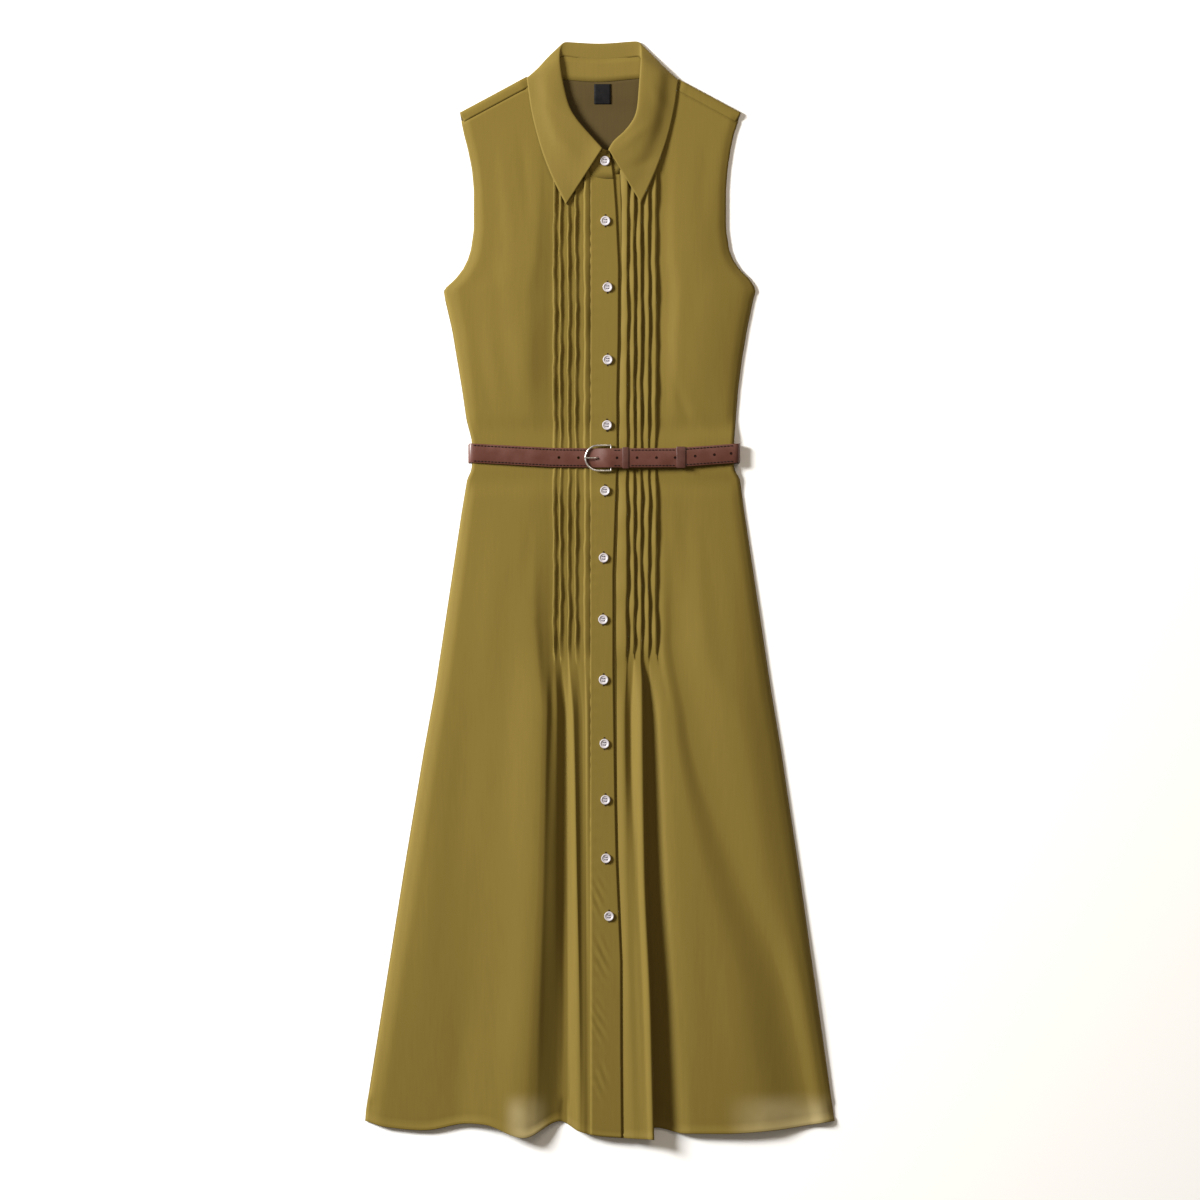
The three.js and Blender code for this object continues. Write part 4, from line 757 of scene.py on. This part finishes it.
standSections = [  # bottom, top, height
    ((16, 494.6), (12, 523), 6.1), ((4, 494.4), (4, 524.4), 6.1), ((-10.4, 497.4), (-2.4, 529), 6),
    ((-19.4, 511.8), (-9.4, 533), 5.6), ((-38.8, 539.6), (-27, 551.6), 4.6),
    ((-57.6, 567.6), (-41.4, 574.4), 4.1), ((-69.6, 598), (-49.4, 604.8), 3.9),
    ((-73, 611.4), (-53, 628), 3.4), ((-66, 613.4), (-50.4, 635.6), 2.5),
    ((-46, 613), (-44.6, 637.4), 2.1), ((0, 608.6), (0, 632.8), 2.1), ((46, 614.4), (44.6, 636.6), 2.1),
    ((66, 613.4), (51.4, 636.4), 2.4), ((76.6, 609.6), (53.4, 628), 3.4), ((75, 597.8), (51.8, 603.6), 3.9),
    ((69.2, 564), (49, 566), 4.1), ((49.6, 533.4), (32.2, 542.6), 4.3), ((29.4, 509.2), (18.6, 531), 4.5),
    ((20, 494.6), (10, 523), 4.6), ((-6, 494.6), (-4, 522), 4.6),
]


def solidTop(node):  # reads how high a solid of the frame stands at a place
    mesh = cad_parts[node].data
    tree = BVHTree.FromPolygons([v.co for v in mesh.vertices], [p.vertices[:] for p in mesh.polygons])

    def read(x, y):
        hit = tree.ray_cast(Vector((x * mm, y * mm, 0.05)), Vector((0, 0, -1)))[0]
        return None if hit is None else hit.z / mm

    return read


leafTop = solidTop("collar_leaf")


def leafPoints():
    sections = []
    for section in leafSections:
        seam, roll = Vector(section[0]), Vector(section[1])
        lies = len(section[-1]) == 2
        edge = Vector((*section[-1], 0)) if lies else Vector(section[-1])
        if lies:
            inset = edge + (roll - edge).normalized() * collar["edgeInset"]
            edge.z = (leafTop(inset.x, inset.y) or 8.0) - collar["thickness"] / 2
        middle = Vector(section[2]) if len(section) == 5 else roll.lerp(edge, 0.5)
        if len(section) == 3:
            middle.z = (leafTop(middle.x, middle.y) or 9.0) - collar["thickness"] / 2
        under = Vector(section[3]) if len(section) == 5 else middle.lerp(edge, 0.5)
        flatBack = middle.z < collar["thickness"]
        outward = (middle - roll) * Vector((1, 1, 0))
        beyond = roll + outward.normalized() * 2.2
        beyond.z = middle.z if flatBack else (roll.z + 1 if lies else mix(roll.z, middle.z, 0.5))
        before = seam.lerp(roll, 0.8)
        if flatBack:
            before.z = seam.z
            seam.z -= collar["seamDrop"]  # its seam with the stand hardly shows
        # the real roll stands up off the dress, more on the right, and the leaf falls away from it
        roundTheSide = smooth(roll.y, 528, 560) * (1 - smooth(roll.y, 625, 650))
        stands = collar["rightRoll" if roll.x > 0 else "leftRoll"] * (roll.y < 640)
        stands *= mix(0.45, 1, roundTheSide)
        for point, part in ((before, 0.8), (roll, 1), (beyond, 1), (middle, 0.5)):
            point.z += stands * part
        sections.append([seam, before, roll, beyond, middle, under, edge])
    return sections


# The stand's sheet reaches a little past its solid's edges, under the leaf and over the neck seam
def standPoints():
    sections = []
    for bottom, top, z in standSections:
        low, high = Vector((*bottom, z)), Vector((*top, z))
        up = (high - low).normalized()
        atFront = clamp((540 - low.y) / 40)  # its two ends lie over the bands
        raised = collar["endLift"] * atFront * (z > 5.5) + collar["onBack"] * (z < 3)
        low += Vector((0, 0, raised)) - up * mix(collar["overSeam"], collar["endsOverSeam"], atFront)
        sections.append([low, high + up * collar["underLeaf"] - Vector((0, 0, 0.3))])
    return sections


# Adds points between the sections and relaxes them into smooth curves
def relaxed(sections, alongSteps, acrossSteps, passes):
    def finer(line, steps):
        made = [a.lerp(b, k / steps) for a, b in zip(line, line[1:]) for k in range(steps)]
        return made + [line[-1].copy()]

    def slack(line):
        inner = [(a + b * 2 + c) / 4 for a, b, c in zip(line, line[1:], line[2:])]
        return [line[0]] + inner + [line[-1]]

    grid = [finer(section, acrossSteps) for section in sections]
    columns = [finer(list(column), alongSteps) for column in zip(*grid)]
    for _ in range(passes * alongSteps):
        columns = [slack(column) for column in columns]
    rows = [list(row) for row in zip(*columns)]
    for _ in range(acrossSteps):
        rows = [slack(row) for row in rows]
    return rows


# Soft ridges and troughs where the collar is bent round the neck
leafCreases = [
    ((12, 518), (66, 562), 0.7, 5), ((20, 496), (78, 524), -0.6, 6), ((56, 612), (86, 560), 0.6, 7),
    ((-14, 506), (-66, 556), 0.6, 7), ((-44, 560), (-76, 596), -0.5, 6),
]
standCreases = [((-46, 633), (2, 626), -0.5, 1.7), ((10, 630), (42, 633), 0.4, 1.6)]


def creased(grid, rows):
    for row in grid:
        for point in row:
            point.z += creaseAt(point.x, point.y, rows)
    return grid


leafGrid = creased(relaxed(leafPoints(), collar["along"], collar["across"], collar["passes"]), leafCreases)
standGrid = relaxed(standPoints(), collar["along"], collar["acrossStand"], collar["passes"])
standGrid = creased(standGrid, standCreases)
leaf = settle(sheetFrom("collar_leaf_sheet", leafGrid, collar["thickness"], 0),
              collarCloth, "cloth", "collar_leaf")
stand = settle(sheetFrom("collar_stand_sheet", standGrid, collar["standThickness"], 0),
               collarCloth, "cloth", "collar_stand")
print("collar laid")

# Neck label: a tape folded in two, hanging bare from the neck seam
label = {"x": 3.0, "top": 605.6, "width": 20.0, "length": 24.0, "thick": 0.25, "apart": 0.4, "curl": 0.25,
         "rows": 24, "columns": 8}


def labelPoints():
    grid = []
    for r in range(2 * label["rows"] + 1):
        down = 1 - abs(r / label["rows"] - 1)  # down the upper layer, round the fold and up the lower one
        row = []
        for c in range(label["columns"] + 1):
            share = c / label["columns"]
            x = label["x"] + label["width"] * (share - 0.5)
            y = label["top"] - label["length"] * down
            side = 1 if r <= label["rows"] else -1
            layers = label["apart"] / 2 * (1 + side * math.sqrt(max(0.0, 1 - down**6)))
            curl = label["curl"] * down * down * (2 * share - 1) ** 2
            row.append((x, y, backLift(x, y) + layer + layers + curl))
        grid.append(row)
    return grid


labelTape = settle(sheetFrom("neck_label_tape", labelPoints(), label["thick"], 0),
                   tape, "label", "neck_label")

# Buttons: a turned disc with a rim and a dish, four holes and two bars of thread
buttonSize = {"radius": 5.7, "thick": 2.2, "rim": 1.5, "wall": 0.5, "dish": 0.7, "ease": 0.45, "hole": 0.72,
              "spread": 1.5, "sides": 40, "thread": 0.34, "threadRise": 0.36, "floor": 1.5}
buttonhole = {"width": 1.9, "length": 15.6, "thick": 0.6, "ease": 0.2, "slit": 0.35, "sunk": 0.25}


def boolean(piece, tool):
    cutting = piece.modifiers.new("cut", "BOOLEAN")
    cutting.object, cutting.operation, cutting.solver = tool, "DIFFERENCE", "EXACT"
    applyAll(piece)
    bpy.data.objects.remove(tool)


def placeOf(piece):  # leaves the place in the mesh
    pickOnly(piece)
    bpy.ops.object.transform_apply(location=True, rotation=True, scale=True)
    return piece


def shapeFaces(piece, wanted):  # opens edit mode with the faces chosen by their place or normal
    bpy.context.tool_settings.mesh_select_mode = (False, False, True)
    pickOnly(piece)
    for face in piece.data.polygons:
        face.select = wanted(face)
    bpy.ops.object.mode_set(mode="EDIT")


def eased(piece, width, angle):
    ease = piece.modifiers.new("eased", "BEVEL")
    ease.width, ease.segments = width * mm, 3
    ease.limit_method, ease.angle_limit = "ANGLE", math.radians(angle)
    applyAll(piece)


def smoothed(piece, angle):
    pickOnly(piece)
    piece.data.shade_smooth()
    bpy.ops.object.shade_smooth_by_angle(angle=math.radians(angle))
    return piece


def buttonMaster():
    size = buttonSize
    bpy.ops.object.select_all(action="DESELECT")
    bpy.ops.mesh.primitive_cylinder_add(vertices=size["sides"], radius=size["radius"] * mm,
                                        depth=size["thick"] * mm, location=(0, 0, size["thick"] / 2 * mm))
    disc = placeOf(bpy.context.active_object)
    shapeFaces(disc, lambda face: face.normal.z > 0.9)
    bpy.ops.mesh.inset(thickness=size["rim"] * mm)
    bpy.ops.mesh.inset(thickness=size["wall"] * mm, depth=-size["dish"] * mm)
    bpy.ops.object.mode_set(mode="OBJECT")
    eased(disc, size["ease"], 25)
    for sx, sy in ((1, 1), (1, -1), (-1, 1), (-1, -1)):
        bpy.ops.object.select_all(action="DESELECT")
        bpy.ops.mesh.primitive_cylinder_add(vertices=14, radius=size["hole"] * mm, depth=6 * mm,
                                            location=(sx * size["spread"] * mm, sy * size["spread"] * mm, mm))
        boolean(disc, bpy.context.active_object)
    return smoothed(disc, 35)


# A round wire starts as an open ring, which is then spun and extruded along
def ringAt(radius, place, facing, sides):
    bpy.context.tool_settings.mesh_select_mode = (True, False, False)
    bpy.ops.object.select_all(action="DESELECT")
    bpy.ops.mesh.primitive_circle_add(vertices=sides, radius=radius * mm, location=Vector(place) * mm,
                                      rotation=facing)
    wire = placeOf(bpy.context.active_object)
    bpy.ops.object.mode_set(mode="EDIT")
    bpy.ops.mesh.select_all(action="SELECT")
    return wire


def runOn(x, y, z):
    bpy.ops.mesh.extrude_region_move(TRANSFORM_OT_translate={"value": (x * mm, y * mm, z * mm)})


def closedWire(wire, name):  # caps both ends and turns the faces outwards
    bpy.ops.mesh.select_all(action="SELECT")
    bpy.ops.mesh.fill_holes(sides=0)
    bpy.ops.mesh.normals_make_consistent(inside=False)
    bpy.ops.object.mode_set(mode="OBJECT")
    wire.name = wire.data.name = name
    return smoothed(wire, 50)


def joined(pieces):
    pickOnly(pieces[0])
    for piece in pieces[1:]:
        piece.select_set(True)
    bpy.ops.object.join()
    return pieces[0]


def threadMaster():  # each bar of thread comes up through one hole and goes down through the next
    size = buttonSize
    bars = []
    for sign in (1, -1):
        y = sign * size["spread"]
        middle = (0, y * mm, size["floor"] * mm)
        bar = ringAt(size["thread"], (size["spread"], y, size["floor"]), (0, 0, 0), 8)
        bpy.ops.mesh.spin(steps=8, angle=math.pi, center=middle, axis=(0, 1, 0))
        bpy.ops.mesh.select_all(action="SELECT")
        bpy.ops.transform.resize(value=(1, 1, size["threadRise"]), center_override=middle)
        bars.append(closedWire(bar, "thread"))
    return joined(bars)


def buttonholeMaster():  # close stitches round the slit, which peep out above and below the button
    size = buttonhole
    bpy.ops.object.select_all(action="DESELECT")
    bpy.ops.mesh.primitive_cube_add(size=1, scale=[size[part] * mm for part in ("width", "length", "thick")])
    bar = placeOf(bpy.context.active_object)
    shapeFaces(bar, lambda face: face.normal.z > 0.9)
    bpy.ops.mesh.inset(thickness=size["slit"] * mm, depth=-size["slit"] * mm)
    bpy.ops.object.mode_set(mode="OBJECT")
    eased(bar, size["ease"], 30)
    return bar


def placedCopy(master, name, place):
    piece = bpy.data.objects.new(name, master.data.copy())
    bpy.context.collection.objects.link(piece)
    piece.data.transform(Matrix.Translation(place))
    return piece


masters = {"disc": buttonMaster(), "thread": threadMaster(), "hole": buttonholeMaster()}
for number in range(1, 14):
    node = f"button_{number:02d}"
    low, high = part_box(node)
    place = Vector(((low[0] + high[0]) / 2, (low[1] + high[1]) / 2, low[2]))
    settle(placedCopy(masters["disc"], f"{node}_disc", place), pearl, "buttons", node)
    settle(placedCopy(masters["thread"], f"{node}_thread", place), buttonThread, "buttons")
    if number > 1:
        spot = place - Vector((0, 0, buttonhole["sunk"] * mm))
        settle(placedCopy(masters["hole"], f"{node}_buttonhole", spot), sewingThread, "cloth")
for master in masters.values():
    bpy.data.objects.remove(master)
print("buttons sewn")

# Belt strap: an eased flat section along its route, with punched holes and a stitched line at each edge
belt = {"width": cut["strapWidth"], "thick": 2.0, "corner": 0.7, "step": 3.0, "passes": 3, "holeRadius": 1.7,
        "punchDepth": 2.6, "levelling": 0.6}
strapRoute = [  # x, z
    (15.8, 9.1), (84, 9.6), (112, 9.6), (148, 8.9), (160.6, 8.7), (164.6, 7.6), (165.8, 5.9), (164.6, 4.2),
    (160.6, 3.3), (118, 3.3), (72, 1), (-152, 1), (-157.2, 1.9), (-158.6, 3.9), (-157.2, 6), (-152, 6.8),
    (-70, 7.7), (-10, 7.7), (-2.4, 9.1), (7.6, 12), (13, 12.5), (25, 11.6), (84, 11.9), (112, 11.9),
    (150, 11.2), (162.4, 10.9), (167, 9.6), (168.6, 5.9), (167, 2.2), (162.4, 1), (122, 1),
]
strapSlant = [(-158, 163.2), (-57, 157.6), (0, 156.9), (90, 157.2), (168, 163)]
holeSpots = [-49.2, -25.9, -2.3, 20.4, 44.4, 67.7, 90, 114, 137, 157]
strapY = tableLine(strapSlant, 0, 1)
topRun = tableLine(strapRoute[15:26], 0, 1)


def strapPath():
    path = []
    for (ax, az), (bx, bz) in zip(strapRoute, strapRoute[1:]):
        steps = max(1, round(math.hypot(bx - ax, bz - az) / belt["step"]))
        path += [(mix(ax, bx, k / steps), mix(az, bz, k / steps)) for k in range(steps)]
    path.append(strapRoute[-1])
    for _ in range(belt["passes"]):
        inner = [((a[0] + 2 * b[0] + c[0]) / 4, (a[1] + 2 * b[1] + c[1]) / 4)
                 for a, b, c in zip(path, path[1:], path[2:])]
        path = [path[0]] + inner + [path[-1]]
    return path


def strapSection():
    half, thick, corner = belt["width"] / 2, belt["thick"] / 2, belt["corner"]
    places = []
    for sy, sz, start in ((1, 1, 0), (-1, 1, 90), (-1, -1, 180), (1, -1, 270)):
        for angle in (0, 45, 90):
            turn = math.radians(start + angle)
            places.append((sy * (half - corner) + corner * math.cos(turn),
                           sz * (thick - corner) + corner * math.sin(turn)))
    return places


def strapMesh():
    path, section = strapPath(), strapSection()
    count = len(section)
    verts, faces = [], []
    for i, (x, z) in enumerate(path):
        (ax, az), (bx, bz) = path[max(i - 1, 0)], path[min(i + 1, len(path) - 1)]
        way = Vector((bx - ax, bz - az)).normalized()
        behind = z < cut["shoulderZ"]
        y = mix(strapY(x), cut["strapY"], belt["levelling"]) if behind else strapY(x)
        verts += [Vector((x - way.y * up, y + across, z + way.x * up)) * mm for across, up in section]
    for r in range(len(path) - 1):
        for c in range(count):
            a, b = r * count + c, r * count + (c + 1) % count
            faces.append((a, b, b + count, a + count))
    faces.append(tuple(range(count)))
    faces.append(tuple(range(len(verts) - 1, len(verts) - 1 - count, -1)))
    mesh = bpy.data.meshes.new("belt_leather")
    mesh.from_pydata(verts, [], faces)
    piece = bpy.data.objects.new("belt_leather", mesh)
    bpy.context.collection.objects.link(piece)
    form = bmesh.new()
    form.from_mesh(mesh)
    bmesh.ops.recalc_face_normals(form, faces=form.faces)
    form.to_mesh(mesh)
    form.free()
    return piece


strap = strapMesh()
for x in holeSpots:
    bpy.ops.object.select_all(action="DESELECT")
    bpy.ops.mesh.primitive_cylinder_add(vertices=20, radius=belt["holeRadius"] * mm,
                                        depth=belt["punchDepth"] * mm,
                                        location=(x * mm, strapY(x) * mm, topRun(x) * mm))
    boolean(strap, bpy.context.active_object)
settle(smoothed(strap, 40), leather, "leather", "belt_strap")

# Stitches: one low arch of thread, copied along both edges wherever nothing covers the strap
stitching = {"in": 2.2, "pitch": 4.1, "length": 2.5, "radius": 0.5, "rise": 0.55, "from": -150.0, "to": 158.0,
             "covered": [(-18, 16), (26, 35), (91, 103)]}


def stitchMaster():
    half = stitching["length"] / 2
    stitch = ringAt(stitching["radius"], (half, 0, 0), (0, 0, 0), 6)
    bpy.ops.mesh.spin(steps=4, angle=math.pi, center=(0, 0, 0), axis=(0, 1, 0))
    bpy.ops.mesh.select_all(action="SELECT")
    bpy.ops.transform.resize(value=(1, 1, stitching["rise"]), center_override=(0, 0, 0))
    return closedWire(stitch, "stitch")


stitchForm = stitchMaster()
stitches = []
for side in (-1, 1):
    x = stitching["from"]
    while x < stitching["to"]:
        if not any(low < x < high for low, high in stitching["covered"]):
            y = strapY(x) + side * (belt["width"] / 2 - stitching["in"])
            spot = (x, y, topRun(x) + belt["thick"] / 2)
            stitches.append(placedCopy(stitchForm, "belt_stitches", Vector(spot) * mm))
        x += stitching["pitch"]
bpy.data.objects.remove(stitchForm)
settle(joined(stitches), waxedThread, "leather")

# Keepers: flat loops of leather round both runs of the strap
keeper = {"wall": 0.9, "trimSide": 0.7, "trimTop": 0.4, "ease": 0.4}
for number in (1, 2):
    node = f"belt_keeper_{number}"
    low, high = [Vector(corner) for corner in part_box(node)]
    trim = Vector((0, keeper["trimSide"], keeper["trimTop"])) * mm
    bpy.ops.object.select_all(action="DESELECT")
    bpy.ops.mesh.primitive_cube_add(size=1, location=(low + high) / 2, scale=high - low - trim * 2)
    loop = placeOf(bpy.context.active_object)
    shapeFaces(loop, lambda face: abs(face.normal.x) > 0.9)
    bpy.ops.mesh.inset(thickness=keeper["wall"] * mm)
    bpy.ops.mesh.bridge_edge_loops()
    bpy.ops.object.mode_set(mode="OBJECT")
    eased(loop, keeper["ease"], 30)
    loop.name = loop.data.name = f"belt_loop_{number}"
    # the keepers' leather carries painted shade
    settle(smoothed(loop, 40), keeperLeatherPaintedShade, "leather", node)

# Buckle: a bent wire open to the right with its bar across, and the prong up through the hole
buckle = {"barX": 13.2, "barZ": 9.1, "barRadius": 0.9, "wire": 1.15, "half": 15.1, "firstRise": 0.3,
          "frontZ": 10.3, "roundX": -2.3, "sideX": 7.0, "prong": 0.8, "eyeRadius": 1.75, "sides": 14,
          "steps": 28, "eyeSteps": 12}
buckleY = strapY(buckle["barX"])
legs = [  # along, up
    (buckle["sideX"] - buckle["barX"], buckle["firstRise"]),
    (buckle["roundX"] - buckle["sideX"], buckle["frontZ"] - buckle["barZ"] - buckle["firstRise"]),
]
bowStart = (buckle["barX"], buckleY + buckle["half"], buckle["barZ"])
bow = ringAt(buckle["wire"], bowStart, (0, math.pi / 2, 0), buckle["sides"])
for along, up in legs:
    runOn(along, 0, up)
bpy.ops.mesh.spin(steps=buckle["steps"], angle=-math.pi, axis=(0, 0, 1),
                  center=(buckle["roundX"] * mm, buckleY * mm, buckle["frontZ"] * mm))
for along, up in reversed(legs):
    runOn(-along, 0, -up)
settle(closedWire(bow, "buckle_bow"), nickel, "buckle", "buckle_frame")
bar = ringAt(buckle["barRadius"], (buckle["barX"], buckleY - buckle["half"], buckle["barZ"]),
             (math.pi / 2, 0, 0), buckle["sides"])
runOn(0, 2 * buckle["half"], 0)
settle(closedWire(bar, "buckle_bar"), nickel, "buckle")

# The prong wraps three quarters round the bar, then runs left under the strap's end and up over the bow
prongWay = [  # to the left of the bar, up from it
    (6, -1.6), (12.6, -1.5), (14.4, -0.9), (15.3, 0.6), (16.2, 2.4), (17.6, 3.4), (21, 3.6), (31.6, 3.6),
]
prong = ringAt(buckle["prong"], (buckle["barX"] - buckle["eyeRadius"], buckleY, buckle["barZ"]), (0, 0, 0),
               buckle["sides"])
bpy.ops.mesh.spin(steps=buckle["eyeSteps"], angle=-1.5 * math.pi, axis=(0, 1, 0),
                  center=(buckle["barX"] * mm, buckleY * mm, buckle["barZ"] * mm))
reached, slope = (0.0, -buckle["eyeRadius"]), 0.0
for spot, beyond in zip(prongWay, prongWay[1:] + [(33, 3.6)]):
    runOn(reached[0] - spot[0], 0, spot[1] - reached[1])
    coming = math.atan2(spot[1] - reached[1], spot[0] - reached[0])
    going = math.atan2(beyond[1] - spot[1], beyond[0] - spot[0])
    middle = (buckle["barX"] - spot[0], buckleY, buckle["barZ"] + spot[1])
    bpy.ops.transform.rotate(value=slope - (coming + going) / 2, orient_axis="Y",
                             center_override=Vector(middle) * mm)
    reached, slope = spot, (coming + going) / 2
settle(closedWire(prong, "buckle_tongue"), nickel, "buckle", "buckle_prong")
print("belt fastened")

# Stage: plain pale floor, low key light from the upper left and a weak fill
stage = {"floor": "#fafaf8", "floorSize": 12, "floorZ": -0.0003, "worldStrength": 0.2,
         "warm": (1.0, 0.87, 0.72), "keyEnergy": 470, "keySize": 1.2, "keyPlace": (-3.5, 1.5, 2.0),
         "fillEnergy": 22, "fillSize": 1.5, "fillPlace": (0.9, 2.0, 2.2),
         "frameMm": 1440, "centreY": -13.2, "lens": 135, "sensor": 36}
bpy.ops.mesh.primitive_plane_add(size=stage["floorSize"], location=(0, 0, stage["floorZ"]))
floor = bpy.context.active_object
floor.name = "floor"
floorLook, _, _ = newMaterial("paleFloor", stage["floor"], 0.9)
floor.data.materials.append(floorLook)


def areaLight(name, energy, size, place, tint=(1, 1, 1)):
    light = bpy.data.lights.new(name, "AREA")
    light.energy, light.size, light.color = energy, size, tint
    lamp = bpy.data.objects.new(name, light)
    lamp.location = place
    lamp.rotation_euler = (Vector((0, 0, 0)) - Vector(place)).to_track_quat("-Z", "Y").to_euler()
    bpy.context.collection.objects.link(lamp)


areaLight("keyLight", stage["keyEnergy"], stage["keySize"], stage["keyPlace"])
areaLight("fillLight", stage["fillEnergy"], stage["fillSize"], stage["fillPlace"], stage["warm"])
world = bpy.data.worlds.new("paleRoom")
world.use_nodes = True
background = world.node_tree.nodes["Background"]
background.inputs["Color"].default_value = (*stage["warm"], 1)
background.inputs["Strength"].default_value = stage["worldStrength"]
bpy.context.scene.world = world
bpy.context.scene.view_settings.view_transform = "Standard"  # the photo's own plain colours

lens = bpy.data.cameras.new("photoView")
lens.lens = stage["lens"]
lens.sensor_width = stage["sensor"]
camera = bpy.data.objects.new("photoView", lens)
camera.location = (0, stage["centreY"] * mm, stage["frameMm"] * mm * stage["lens"] / stage["sensor"])
lens.clip_end = 50
bpy.context.collection.objects.link(camera)
bpy.context.scene.camera = camera
print("stage set")
